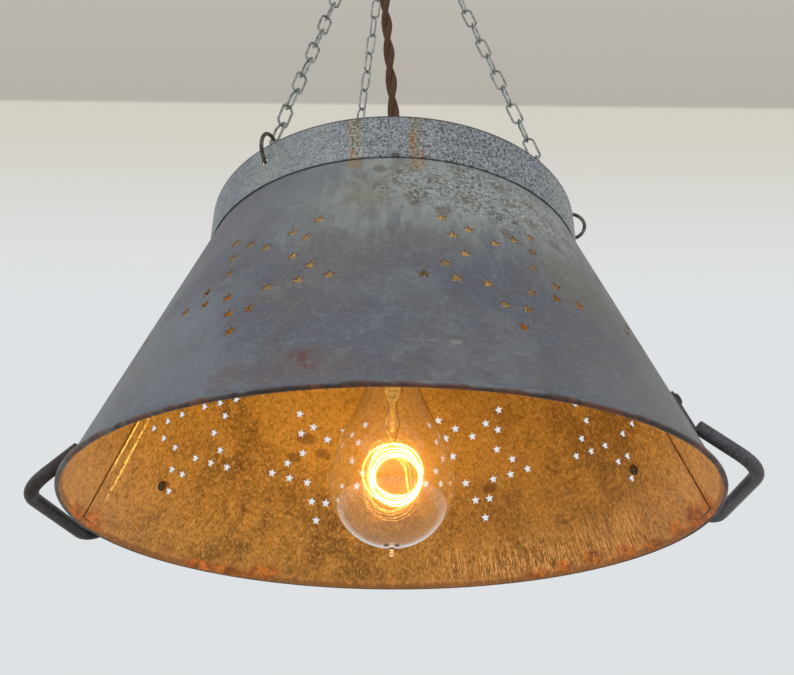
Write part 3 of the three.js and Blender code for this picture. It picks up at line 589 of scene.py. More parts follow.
def flattened_tab(place, turn):
    """A pressed end: a block drawn out, rounded at its tip and let into the bar."""
    tab = block("tab", (TAB[1], TAB[0] + BAR, TAB[2]), (0, (TAB[0] - BAR) / 2, TAB[2] / 2))

    def upright_at_tip(edge):
        a, b = (tab.data.vertices[v].co for v in edge.vertices)
        return min(a.y, b.y) > 0.015 and abs(a.z - b.z) > 0.001

    pick(tab, upright_at_tip)
    bpy.ops.mesh.bevel(offset=3.6 * MM, segments=6, affect="EDGES")
    bpy.ops.object.mode_set(mode="OBJECT")
    modified(tab, "BEVEL", width=0.45 * MM, segments=2, limit_method="ANGLE")
    cut_away(tab, rod("tab_drill", 24, 2.3, 12, (0, TAB[0] - 1.5 * RIVET_HEAD_RADIUS, 0)))
    tab.data.transform(on_wall(place.middle + turn, place.foot, GAP))
    return tab


def bent_handle(name, place):
    tabs = [flattened_tab(place, turn) for turn in (-place.turn, place.turn)]
    return tidy(joined(name, [wire(name, handle_route(place), BAR, 6), *tabs]), 40)


handles = {side: bent_handle("bent_handle_" + side, place) for side, place in HANDLES.items()}


def rivet():
    """A round-headed rivet, hammered flat outside and domed inside, about its own axis."""
    outer, inner, head = 2 * GAP + TAB[2], -0.42 - SHEET - GAP, RIVET_HEAD_RADIUS
    profile = [(head * part, inner - RIVET_HEAD * out) for part, out in (
        (0, 1), (0.45, 0.94), (0.8, 0.62))]
    profile += raised(inner, (head, -0.2), (head - 0.1, 0), (2, 0))
    profile += raised(outer, (2, 0), (head - 0.1, 0), (head, 0.25))
    profile += [(head * part, outer + RIVET_HEAD * out) for part, out in (
        (0.86, 0.6), (0.55, 0.95), (0.2, 1), (0, 1))]
    return turned("rivet", profile, base=0, sides=24, sharp=40)


rivet_pattern = rivet()
rivets = {}
for side, place in HANDLES.items():
    near = -place.turn if side == "right" else place.turn
    for key, turn in ((side + "_near", near), (side + "_far", -near)):
        rivets[key] = copy_of(rivet_pattern, on_wall(place.middle + turn, place.rivet))
        rivets[key].name = "round_rivet_" + key
bpy.data.objects.remove(rivet_pattern)

# Chains, their rings and the suspension ring

HANG = {"left": -5, "right": 0, "back": 5}
LINK_PITCH = 19.6
LINK_BITE = 0.35  # neighbouring links meet by this much
RING_PLAY = 0.7


def turned_axes(first, second):
    """A turn that lays X along the first direction and Y along the second."""
    return Matrix((first, second, first.cross(second))).transposed().to_4x4()


def oval_link(length):
    """A round wire ring drawn out to a long link."""
    start()
    bpy.ops.mesh.primitive_torus_add(major_radius=LINK_HALF_WIDTH * MM,
        minor_radius=LINK_WIRE * MM, major_segments=24, minor_segments=8)
    link = newest("oval_link")
    for corner in link.data.vertices:
        corner.co.x += copysign(length / 2 - LINK_HALF_WIDTH, corner.co.x) * MM
    return tidy(link, 60)


def hung_chain(side):
    """One chain's links and jump ring, laid out as in the CAD source."""
    angle, along = CHAINS[side], HANG[side]
    hole = outward(angle) * (BAND_INNER + SHEET / 2) + UP * (RIM + RING_HOLE_LEVEL)
    hang = Vector((0, along, RING_LEVEL - sqrt(RING_RADIUS**2 - along**2)))
    up = (hang - hole).normalized()
    across = sideways(angle)
    flat = up.cross(across).normalized()
    bends = [rad(64 + 357.5 * i / 48) for i in range(49)]
    jump = wire("jump_ring_wire_" + side,
        [Vector((cos(t), sin(t), 0)) * JUMP_RING for t in bends], JUMP_WIRE, 4)
    turn = Matrix.Rotation(rad(RING_TURNS[side]), 4, up)
    middle = Matrix.Translation((hole + up * JUMP_RING) * MM)
    jump.data.transform(middle @ turn @ turned_axes(up, flat))
    first = 2 * JUMP_RING - JUMP_WIRE - GAP - LINK_WIRE
    last = (hang - hole).length + RING_WIRE + RING_PLAY + LINK_WIRE
    grip = 2 * LINK_WIRE - LINK_BITE
    count = round((last - first - grip) / LINK_PITCH)
    pitch = (last - first - grip) / count
    width = (Vector((1, 0, 0)) - up * up.x).normalized()
    wanted = atan2(width.dot(flat), width.dot(across))
    quarters = (count - 1) * pi / 2
    extra = wanted - quarters - pi * round((wanted - quarters) / pi)
    places = []
    for i in range(count):
        roll = i * pi / 2 + extra * i / (count - 1)
        wide = across * cos(roll) + flat * sin(roll)
        spot = hole + up * (first + pitch / 2 + grip / 2 + i * pitch)
        places.append(Matrix.Translation(spot * MM) @ turned_axes(up, wide))
    links = placed_copies(oval_link(pitch + grip), places)
    return jump, joined("hung_chain_" + side, links)


chains, jump_rings = {}, {}
for side in CHAINS:
    jump_rings[side], chains[side] = hung_chain(side)

start()
bpy.ops.mesh.primitive_torus_add(major_radius=RING_RADIUS * MM, minor_radius=RING_WIRE * MM,
    major_segments=96, minor_segments=20)
suspension = newest("welded_ring")
place = Matrix.Translation(UP * RING_LEVEL * MM)
suspension.data.transform(place @ Matrix.Rotation(pi / 2, 4, "Y"))
tidy(suspension, 60)

# Ceiling plate, hook, canopy, collar, bushing and terminals

HOOK_LEVEL = -86
HOOK_BEND = 10.5
SHANK = 4
SHANK_END = -65
CORD_SIDE = -26

ceiling_plate = turned("pressed_ceiling_plate", [(0, 0), (37.4, 0), (38, -0.6), (38, -2.4),
    (37.4, -3), (8.8, -3), (8, -3.8), (8, -10.5), (7.5, -11), (4.3, -11), (4.3, -3), (0, -3)],
    base=0)
cut_away(ceiling_plate, *(rod("screw_drill", 32, 2.5, 20, (0, y, 0)) for y in (-28, 28)))
tidy(ceiling_plate)


def crests(level, top, *points):
    """Shallow thread crests, one to each millimetre."""
    rows = []
    while level < top:
        rows += raised(level, *points)
        level += 1
    return rows


shank_profile = [*raised(SHANK_END, (0, 0), (2.6, 0), (3.6, 0.8), (SHANK, 1.8)),
    *crests(SHANK_END + 26, -4.6, (SHANK, 0), (SHANK - 0.4, 0.5)), (SHANK - 0.4, -3.6),
    (SHANK - 0.6, -3.3), (0, -3.3)]


def hook_route():
    line = [Vector((0, 0, SHANK_END + 4)), Vector((0, 0, SHANK_END - 1))]
    a, b = line[1], Vector((0, 0, SHANK_END - 9))
    c, d = Vector((HOOK_BEND, 0, HOOK_LEVEL + 9)), Vector((HOOK_BEND, 0, HOOK_LEVEL))
    for t in (k / 10 for k in range(1, 11)):
        line.append(a * (1 - t) ** 3 + b * 3 * t * (1 - t) ** 2 + c * 3 * t * t * (1 - t)
            + d * t**3)
    for turn in (pi * k / 20 for k in range(1, 21)):
        line.append(Vector((cos(turn), 0, -sin(turn))) * HOOK_BEND + UP * HOOK_LEVEL)
    ends = raised(HOOK_LEVEL, (0.25 - HOOK_BEND, 2), (0.85 - HOOK_BEND, 5))
    return line + [Vector((x, 0, z)) for x, z in ends]


hook = joined("screwed_hook", [turned("shank", shank_profile, base=0, sides=32, sharp=50),
    wire("hook_bend", hook_route(), 2.5, 5)])

CANOPY_TOP = -0.6
CANOPY_FLOOR = CANOPY_TOP - 36


def canopy_profile():
    outer = edge_round(34, CANOPY_FLOOR + 8, 8, range(-90, 1, 10))
    inner = edge_round(34, CANOPY_FLOOR + 8, 6.8, range(0, -91, -10))
    lip = raised(CANOPY_TOP, (42, -0.4), (41.6, 0), (41.2, 0), (40.8, 0))
    bore = raised(CANOPY_FLOOR, (4.3, 1.2), (4.3, 0))
    rolls = raised(CANOPY_FLOOR, (10, 0), (18, 0), (30, 0))
    return [*bore, *rolls, *outer, *lip, *inner, bore[0]]


canopy = turned("spun_canopy", canopy_profile(), base=0, sides=128, sharp=40)
cut_away(canopy, rod("cord_drill", 48, CORD + 2.2, 10, (CORD_SIDE, 0, CANOPY_FLOOR)))
tidy(canopy, 40)

collar_top = CANOPY_FLOOR - GAP
collar = turned("turned_collar", [(4.3, -6.6), (4.7, -7), (7.5, -7), (8.2, -6.7), (8.5, -6),
    (8.5, -4.4), (8.2, -4.1), (8.2, -3.5), (8.5, -3.2), (8.5, -0.4), (8.1, 0), (4.3, 0),
    (4.3, -6.6)], base=collar_top, sides=64)
bushing_profile = raised(collar_top, (0.3, -1.1), (0.7, -1.5), (2.9, -1.5), (3.4, -1),
    (3.4, -0.3), (3.1, 0), (1.9, 0))
bushing_profile += raised(CANOPY_FLOOR, (1.9, 2.8), (1.5, 3.2), (0.7, 3.2), (0.3, 2.8))
bushing_profile = [(CORD + r, z) for r, z in [*bushing_profile, bushing_profile[0]]]
bushing = turned("cord_bushing", bushing_profile, base=0, sides=48, x=CORD_SIDE)
terminals = block("ceramic_terminals", (22, 18, 11), (CORD_SIDE, 0, -8.8))
modified(terminals, "BEVEL", width=0.9 * MM, segments=3)
cut_away(terminals, *(rod("well", 24, 1.9, 6, (CORD_SIDE + x, y, -14.3))
    for x in (-5.2, 5.2) for y in (-4.6, 4.6)))
tidy(terminals, 30)

# Nipple, nut, cord grip, lampholder and leads


def softened(piece, width):
    modified(piece, "BEVEL", width=width * MM, segments=2, limit_method="ANGLE",
        angle_limit=rad(28))
    return tidy(piece, 35, 0.001)


NIPPLE_BORE = 3.3
NIPPLE_LOW = PLATE_LEVEL - 12
NIPPLE_TOP = PLATE_TOP + 16

nipple = turned("threaded_nipple", [(NIPPLE_BORE, NIPPLE_LOW), (4.6, NIPPLE_LOW),
    *crests(NIPPLE_LOW + 0.4, NIPPLE_TOP - 0.9, (5, 0), (4.65, 0.5)), (4.6, NIPPLE_TOP),
    (NIPPLE_BORE, NIPPLE_TOP), (NIPPLE_BORE, NIPPLE_LOW)], sides=48, sharp=50)
washer_low = PLATE_TOP + GAP
washer = turned("flat_washer", raised(washer_low, (5.3, 0), (11, 0), (11, 1.2), (5.3, 1.2),
    (5.3, 0)), sides=64)
softened(washer, 0.2)
nut_low = washer_low + 1.2 + GAP
nut_middle = (0, 0, RIM + nut_low + 2)
nut = rod("hexagon_nut", 6, 8, 4, nut_middle)
cut_away(nut, rod("nut_bore", 48, 5.3, 12, nut_middle))
softened(nut, 0.3)

grip_low = nut_low + 4 + GAP
grip = turned("ribbed_cord_grip", [
    *raised(grip_low, (5.3, 0), (7.2, 0), (7.5, 0.4), (7.5, 3.4), (7.1, 3.8), (7.1, 4.6),
        (7.5, 5)),
    *raised(GRIP_TOP, (7.5, -9), (7.2, -6), (6.5, -1.4), (5.9, -0.3), (5.2, 0), (3.7, 0),
        (3.3, -0.4)),
    (3.3, NIPPLE_TOP + GAP), (5.3, NIPPLE_TOP + GAP), (5.3, grip_low)], sides=64, sharp=40)

HOLDER_TOP = PLATE_LEVEL - GAP
CAP_END = HOLDER_TOP - 23
SKIRT_TOP = CAP_END - GAP
SKIRT_END = SKIRT_TOP - 54
CORE_TOP = CAP_END - 1
CORE_END = CORE_TOP - 16
CONTACT_END = CORE_END - 3.6


def holder_cap_profile():
    roof = HOLDER_TOP - 7
    dish = raised(roof, (5.3, -1.6), (9, -1.6), (14, -3.8), (17.2, -6.6), (18.4, -10))
    foot = raised(CAP_END, (18.4, 0), (19.6, 0), (20, 0.4), (20, 2.6), (19.5, 3), (19.5, 3.5),
        (20, 4))
    neck = [(10, roof - 0.6), (9, roof + 0.2)]
    neck += raised(HOLDER_TOP, (9, -0.4), (8.6, 0), (5.3, 0))
    return [*dish, *foot, *edge_round(16, roof - 6.2, 4, range(0, 91, 15)), *neck, dish[0]]


holder_cap = turned("moulded_holder_cap", holder_cap_profile(), sharp=40)
holder_skirt = turned("moulded_holder_skirt", [
    *raised(SKIRT_TOP, (18.4, 0), (17.2, -30)),
    *raised(SKIRT_END, (17.2, 0.4), (17.6, 0), (18.4, 0), (18.8, 0.5), (18.8, 3.2), (18.5, 3.7),
        (18.5, 4.3), (18.8, 4.8)),
    *raised(SKIRT_TOP, (18.8, -30), (19.3, -16), (20, -5), (20, -0.4), (19.6, 0), (18.4, 0)),
], sharp=40)
insulator = turned("ceramic_core", [
    *raised(CORE_TOP, (0, 0), (16.3, 0), (16.9, -0.6)),
    *raised(CORE_END, (16.9, 0.6), (16.3, 0), (1.8, 0), (1.8, 9), (0, 9))], sides=64, sharp=40)


def shell_profile():
    """A spun screw shell, rippled where the bulb's cap screws in."""
    top, low = CORE_END - GAP, 112
    outer, inner = [], []
    for i in range(57):
        level = low + (top - 1.2 - low) * i / 56
        swell = 0.16 * sin(2 * pi * (level - low) / THREAD_PITCH)
        outer.append((14.42 + swell, level))
        inner.append((14.02 + swell, level))
    roof = raised(top, (14.2, -0.3), (13.6, 0), (6, 0), (6, -0.5), (13.4, -0.6))
    return [*outer, *roof, *reversed(inner), outer[0]]


screw_shell = turned("rippled_screw_shell", shell_profile(), sides=64, sharp=50)
contact = joined("spring_contact", [
    turned("contact_pin", [*raised(CONTACT_END, (0, 0.3), (1.5, 0.3)),
        *raised(CORE_END, (1.5, 7.6), (1.1, 8), (0, 8))], sides=24),
    turned("contact_disc", raised(CONTACT_END, (0, 0.1), (2.4, 0), (3.7, 0.1), (4, 0.4),
        (3.7, 0.7), (0, 0.8)), sides=32)])


def slotted_screw(name, x):
    low, high = CORE_TOP + GAP, CORE_TOP + GAP + 3.2
    profile = [(0, low), (2.4, low), (2.4, high - 0.5), (2, high), (0, high)]
    screw = turned(name, profile, sides=32, x=x)
    return tidy(cut_away(screw, block("slot", (0.7, 8, 1.6), (x, 0, RIM + high))))


SIDES = {"left": -1, "right": 1}
terminal_screws = {side: slotted_screw("slotted_screw_" + side, way * 9)
    for side, way in SIDES.items()}


def lead(side, way):
    low = NIPPLE_LOW - 1
    points = [(1.8, GRIP_TOP - 0.5), (1.8, NIPPLE_TOP), (1.8, low), (2.4, low - 2.4),
        (4, low - 5), (9, CORE_TOP + 8), (9, CORE_TOP + 3.8)]
    line = smooth_line([(way * x, 0, RIM + z) for x, z in points], 6)
    return wire("sleeved_lead_" + side, line, 0.95, 4)


leads = {side: lead(side, way) for side, way in SIDES.items()}

# Bulb

BULB_CENTRE = 22.6
BULB_RADIUS = 40
NECK_LEVEL = 108
CAP_TOP = NECK_LEVEL + 24
GLASS = 0.9


def glass_profile():
    """Outer face from the pip up to the lip inside the cap, then the inner face back down."""
    low = BULB_CENTRE - BULB_RADIUS
    pip = raised(low, (0, -6), (0.7, -5.85), (1.2, -5.3), (1.42, -4.5), (1.25, -3.6), (1.1, -2.8),
        (1.3, -1.8), (1.9, -0.9), (3, -0.2))
    globe = edge_round(0, BULB_CENTRE, BULB_RADIUS, [-83.5 + 4.25 * i for i in range(22)])
    shoulder = [globe[-1], (39.6, 28), (37.2, 41), (33, 54), (27.2, 67), (21.3, 81), (16.8, 94),
        (14, 106)]
    shoulder = smooth_line(shoulder, 5)[5:]
    outer = globe + shoulder + [(12.6, 107.3), (12, 108.3), (12, 116)]
    inner = []
    for i, (r, z) in enumerate(outer):
        r0, z0 = outer[max(i - 1, 0)]
        r1, z1 = outer[min(i + 1, len(outer) - 1)]
        along = Vector((r1 - r0, z1 - z0)).normalized()
        inner.append((r - GLASS * along.y, z + GLASS * along.x))
    return [*pip, *outer, *reversed(inner), (0, low + GLASS)]


def bulb_cap_profile():
    """A screwed cap: a round thread between a plain skirt and the shoulder."""
    outer = raised(NECK_LEVEL, (12.4, GAP), (12.8, GAP), (12.9, 1.6))
    low, high = NECK_LEVEL + 2, CAP_TOP - 4.4
    for i in range(45):
        level = low + (high - low) * i / 44
        turn = 2 * pi * (level - low) / THREAD_PITCH
        outer.append((12.8 + 0.38 * cos(turn), level))
    shoulder = raised(CAP_TOP, (12.2, -3), (10.4, -0.6), (8.5, 0), (7, 0), (7, -1.5), (12.3, -4.4))
    return [*outer, *shoulder, (12.3, NECK_LEVEL + 0.8), outer[0]]


glass = turned("blown_glass", glass_profile(), sides=128, sharp=60)
bulb_cap = turned("screwed_bulb_cap", bulb_cap_profile(), sides=64, sharp=50)
cap_insulator = turned("black_cap_glass", raised(CAP_TOP, (0, 0.3), (7.6, 0.3), (8, 0.6),
    (7.2, 1.8), (5, 3.6), (4, 3.8), (0, 3.8)), sides=48, sharp=40)
solder = turned("solder_contact", [
    *raised(CAP_TOP, (0, 4.1), (4.2, 4.1), (4, 4.8)),
    *raised(CONTACT_END, (3, -0.5), (1.8, -0.32), (0, -GAP))], sides=32, sharp=50)
stem = turned("drawn_stem", [(0, 58), (0.9, 58.1), (1.5, 58.6), (1.6, 59.6), (1.5, 62), (1.6, 70),
    (1.8, 78), (2.6, 80.6), (4.2, 83), (5, 86), (5.2, 90), (6.4, 97), (9.2, 106), (10.6, 110),
    (10.7, 112), (10.7, 112.6), (10.3, 113), (0, 113)], sides=64, sharp=50)

FILAMENT_CENTRE = 27
LOOP_STEPS = 28
LOOPS = [
    (19.8, -1.6, 5.6, 8.0), (18.2, 0.2, 4.6, 6.2), (16.4, 2.4, 2.6, 4.6), (16.0, 2.6, -1.2, 3.2),
    (13.9, 3.8, 0.8, 1.8), (15.6, 1.9, -2.4, 0.4), (16.6, 2.6, -0.2, -1.0), (15.0, 3.4, 2.2, -2.6),
    (18.8, 3.9, 5.8, -5.0),
]  # each loop's radius, then its middle to the side, up and back


def filament_route():
    """Two slack outer turns, five close ones facing the room, and one more slack turn."""
    line = []
    for i in range((len(LOOPS) - 1) * LOOP_STEPS + 1):
        k, t = divmod(i, LOOP_STEPS)
        near = zip(LOOPS[k], LOOPS[min(k + 1, len(LOOPS) - 1)])
        radius, x, z, y = (a + (b - a) * t / LOOP_STEPS for a, b in near)
        angle = 2 * pi * t / LOOP_STEPS + rad(200)
        level = RIM + FILAMENT_CENTRE + z + radius * 1.04 * cos(angle)
        line.append(Vector((x + radius * sin(-angle), y, level)))
    return line


filament_line = filament_route()
filament = wire("wound_filament", filament_line, 0.25, 2)


def support(side, way, loop):
    """A wire from the stem down to the top of a loop of the filament."""
    end = max(loop, key=lambda p: p.z)
    top = RIM + 77
    bend = Vector((way * 4.5, end.y * 0.4, top - 14))
    points = [Vector((way * 2.6, 0, top)), Vector((way * 3.2, 0, top - 7)), bend,
        end.lerp(bend, 0.4), end + UP * 0.9]
    return wire("support_hook_" + side, smooth_line([tuple(p) for p in points], 6), 0.4, 3)


end_loops = {"left": filament_line[: LOOP_STEPS + 1], "right": filament_line[-LOOP_STEPS - 1 :]}
supports = {side: support(side, way, end_loops[side]) for side, way in SIDES.items()}

# Materials


class Mask:
    """A value, vector or colour of a node tree, reckoned with like a number."""

    def __init__(self, tree, socket):
        self.tree, self.socket = tree, socket

    def maths(self, operation, *others):
        return lay(self.tree, "Math", self, *others, operation=operation)

    __add__ = partialmethod(maths, "ADD")
    __sub__ = partialmethod(maths, "SUBTRACT")
    __mul__ = partialmethod(maths, "MULTIPLY")
    __truediv__ = partialmethod(maths, "DIVIDE")
    __or__ = partialmethod(maths, "MAXIMUM")
    __abs__ = partialmethod(maths, "ABSOLUTE")

    def span(self, low, high, to_low=0.0, to_high=1.0):
        return lay(self.tree, "MapRange", self, low, high, to_low, to_high,
            interpolation_type="SMOOTHSTEP")

    def mix(self, a, b):
        """Two colours mixed by this mask."""
        return lay(self.tree, "Mix", out=2, data_type="RGBA", clamp_factor=True,
            named={0: self, 6: colour(a), 7: colour(b)})

    def split(self):
        parts = lay(self.tree, "SeparateXYZ", self).socket.node.outputs
        return [Mask(self.tree, part) for part in parts]


def feed(socket, value):
    """Links a mask to a socket, or sets the socket's own value."""
    if isinstance(value, Mask):
        value.tree.links.new(value.socket, socket)
    else:
        socket.default_value = value


def lay(tree, kind, *values, out=0, named={}, **settings):
    """Adds a node, sets it up, fills its inputs in order or by name, and gives one output."""
    node = tree.nodes.new("ShaderNode" + kind)
    for key, value in settings.items():
        setattr(node, key, value)
    for key, value in [*enumerate(values), *named.items()]:
        feed(node.inputs[key], value)
    return Mask(tree, node.outputs[out])


def colour(value):
    """A colour picked as 0 to 255 screen values, as Blender's linear ones."""
    if isinstance(value, Mask):
        return value
    made = []
    for part in value:
        share = part / 255
        made.append(share / 12.92 if share < 0.04 else ((share + 0.055) / 1.055) ** 2.4)
    return (*made, 1)


def group(name, inputs, outputs):
    """A node group with its sockets, its inputs as masks, and its last node's inputs."""
    tree = bpy.data.node_groups.new(name, "ShaderNodeTree")
    for way, sockets in (("INPUT", inputs), ("OUTPUT", outputs)):
        for label, kind in sockets.items():
            tree.interface.new_socket(name=label, in_out=way, socket_type="NodeSocket" + kind)
    given = tree.nodes.new("NodeGroupInput").outputs
    kept = tree.nodes.new("NodeGroupOutput").inputs
    return tree, {label: Mask(tree, given[label]) for label in inputs}, kept


def placed(tree, made, named):
    """Places a group in a material and gives its outputs as masks."""
    node = tree.nodes.new("ShaderNodeGroup")
    node.node_tree = made
    for key, value in named.items():
        feed(node.inputs[key], value)
    return {socket.name: Mask(tree, socket) for socket in node.outputs}


def place_on_shade():
    """Angle in degrees from the photographed side, height in mm over the rim, and both as a
    vector in metres that runs with the sheet."""
    tree, given, kept = group("place_on_shade", {"Place": "Vector"},
        {"Turn": "Float", "Height": "Float", "Around": "Vector"})
    x, y, z = given["Place"].split()
    turn = x.maths("ARCTAN2", y * -1)
    feed(kept["Turn"], turn * (180 / pi))
    feed(kept["Height"], z * 1000 - RIM)
    feed(kept["Around"], lay(tree, "CombineXYZ", turn * 0.16, z, 0.0))
    return tree


def ragged_patch():
    """A soft oval at an angle and height whose edge a noise breaks up."""
    names = ("Turn", "Height", "Ragged", "At Turn", "At Height", "Wide", "High")
    tree, given, kept = group("ragged_patch", dict.fromkeys(names, "Float"), {"Mask": "Float"})
    along = (given["Turn"] - given["At Turn"]) / given["Wide"]
    up = (given["Height"] - given["At Height"]) / given["High"]
    far = (along * along + up * up).maths("SQRT")
    feed(kept["Mask"], (far + (given["Ragged"] * 1.6 - 0.8)).span(1.1, 0.45))
    return tree


ON_SHADE, PATCH = place_on_shade(), ragged_patch()


class Look:
    """A material in the making: a base colour laid over in coats, then gloss and bumps."""

    def __init__(self, name, **plain):
        self.made = bpy.data.materials.new(name)
        self.made.use_nodes = True
        self.tree = self.made.node_tree
        self.shader = self.tree.nodes["Principled BSDF"]
        self.place = lay(self.tree, "TexCoord", out=3)
        for key, value in plain.items():
            feed(self.shader.inputs[key.replace("_", " ")], value)

    def on_shade(self):
        self.at = placed(self.tree, ON_SHADE, {"Place": self.place})
        return self.at["Turn"], self.at["Height"]

    def noise(self, scale, detail=3.0, rough=0.55, distortion=0.0, where=None):
        return lay(self.tree, "TexNoise", named={"Vector": where or self.place, "Scale": scale,
            "Detail": detail, "Roughness": rough, "Distortion": distortion})

    def drawn_noise(self, across, along, *settings):
        """Noise drawn out round or up the sheet."""
        drawn = lay(self.tree, "VectorMath", self.at["Around"], (across, along, 1.0),
            operation="MULTIPLY")
        return self.noise(1.0, *settings, where=drawn)

    def patches(self, ragged, spots):
        """Soft ovals at a list of (angle, height, half width, half height), laid together."""
        total = None
        for spot in spots:
            named = dict(zip(("At Turn", "At Height", "Wide", "High"), spot))
            named.update({"Turn": self.at["Turn"], "Height": self.at["Height"], "Ragged": ragged})
            mask = placed(self.tree, PATCH, named)["Mask"]
            total = total | mask if total else mask
        return total

    def coat(self, mask, tone):
        self.base = mask.mix(self.base, tone)

    def finish(self, rough, height, lift):
        bump = lay(self.tree, "Bump",
            named={"Strength": 1.0, "Distance": lift * MM, "Height": height})
        for key, value in (("Base Color", self.base), ("Roughness", rough), ("Normal", bump)):
            feed(self.shader.inputs[key], value)
        return self.made


def zinc_outside():
    """Weathered galvanised sheet: slate blue-grey low down, paler and spotted above."""
    look = Look("zinc_outside", Metallic=0.35)
    turn, height = look.on_shade()
    cloud = look.noise(13, 4, 0.6, 0.5)
    mottle = look.noise(60, 5, 0.65, 0.8)
    grain = look.noise(420, 4, 0.75)
    fine = look.noise(1300, 2, 0.6)
    ragged = look.noise(38, 5, 0.65, 0.9)
    streaky = look.drawn_noise(150, 34, 4, 0.6, 0.6)
    look.base = cloud.span(0.35, 0.65).mix((104, 108, 122), (120, 124, 132))
    look.coat(mottle.span(0.5, 0.72) * 0.7, (136, 142, 146))
    look.coat(mottle.span(0.5, 0.3) * 0.45, (98, 92, 94))
    level = streaky * 70 + height
    pale = level.span(112, 186) * turn.span(-32, -2) * turn.span(80, 35)
    pale = pale * ((ragged + streaky).span(0.75, 1.15) * 0.6 + 0.4)
    look.coat(pale * 0.95, (166, 173, 169))
    look.coat(turn.span(18, 48) * height.span(165, 110) * 0.5, (120, 119, 118))
    brown = look.patches(ragged, [(-12, 88, 13, 26), (-19, 64, 9, 26), (2, 100, 10, 12)])
    look.coat(brown * mottle.span(0.34, 0.56) * 0.42, (122, 106, 98))
    mask = look.patches(ragged, [(-7, 142, 8, 22), (0, 168, 5, 10), (36, 90, 10, 26)])
    look.coat(mask * 0.45, (126, 118, 96))
    look.coat(look.patches(ragged, [(-32, 22, 11, 22), (-40, 60, 14, 24)]) * 0.42, (128, 138, 152))
    torn = look.noise(130, 5, 0.7, 1.0)
    places = [(-1, 154, 1.6, 6), (3, 139, 3.2, 11), (15, 143, 4, 9), (21, 132, 2, 5), (15, 169,
        2.6, 6), (-5, 166, 2.2, 5), (7.5, 158, 2, 6), (9, 127, 2.4, 5), (27, 148, 3.4, 6), (34,
        158, 3.4, 6), (26, 165, 2.6, 5), (31, 136, 2.2, 6), (39, 150, 2.2, 6), (44, 138, 2, 5),
        (48, 154, 2, 5), (22, 117, 2, 5), (36, 124, 2, 5)]
    region = look.patches(ragged, [(20, 150, 30, 34)])
    spots = look.patches(torn, places) | torn.span(0.57, 0.66) * region * 0.7
    look.coat(spots * 0.62, (104, 94, 78))
    look.coat(torn.span(0.44, 0.36) * region * 0.6, (172, 180, 178))
    mask = look.patches(ragged, [(4.2, 172, 2.8, 8), (-11.5, 175, 2.4, 8)])
    look.coat(mask * 0.6, (164, 130, 74))
    look.coat(look.patches(ragged, [(-14, 14, 10, 14), (-24, 12, 4, 10)]) * 0.4, (118, 98, 98))
    rust = look.patches(torn, [(-14, 19, 3.2, 6), (-12.5, 14, 2.4, 5)])
    look.coat(rust * torn.span(0.44, 0.56) * 0.75, (112, 74, 66))
    scratch = look.patches(torn, [(2, 26.7, 4.2, 0.8), (16.6, 23.6, 2.4, 0.9)])
    scratch = scratch * 0.4 | look.patches(torn, [(7, 26.3, 1.1, 1.6)])
    look.coat(scratch * 0.6, (166, 170, 162))
    coarse = region * 0.88 + 0.1
    look.coat(grain.span(0.5, 0.62) * coarse, (188, 196, 196))
    look.coat(grain.span(0.49, 0.36) * coarse, (72, 70, 72))
    # The rolled rim: dark brown with rust, greyish green towards the left; part of its darkness is
    # painted shade under the bead.
    edge = ragged.span(0.44, 0.6).mix((52, 40, 32), (116, 66, 40))
    green = mottle.span(0.44, 0.6) * turn.span(-12, -44) * 0.8
    edge = green.mix(edge, (112, 120, 112))
    look.coat((mottle * 4 + height).span(3.1, 1.2) * 0.9, edge)
    # Painted shade: a thin dark line at the wall's top, under the foot band's lower edge.
    look.coat(height.span(WALL_HEIGHT - 0.3, WALL_HEIGHT) * 0.3, (62, 56, 54))
    rough = mottle.span(0.3, 0.7, 0.42, 0.62)
    return look.finish(rough, grain + fine * 0.4, 0.15)


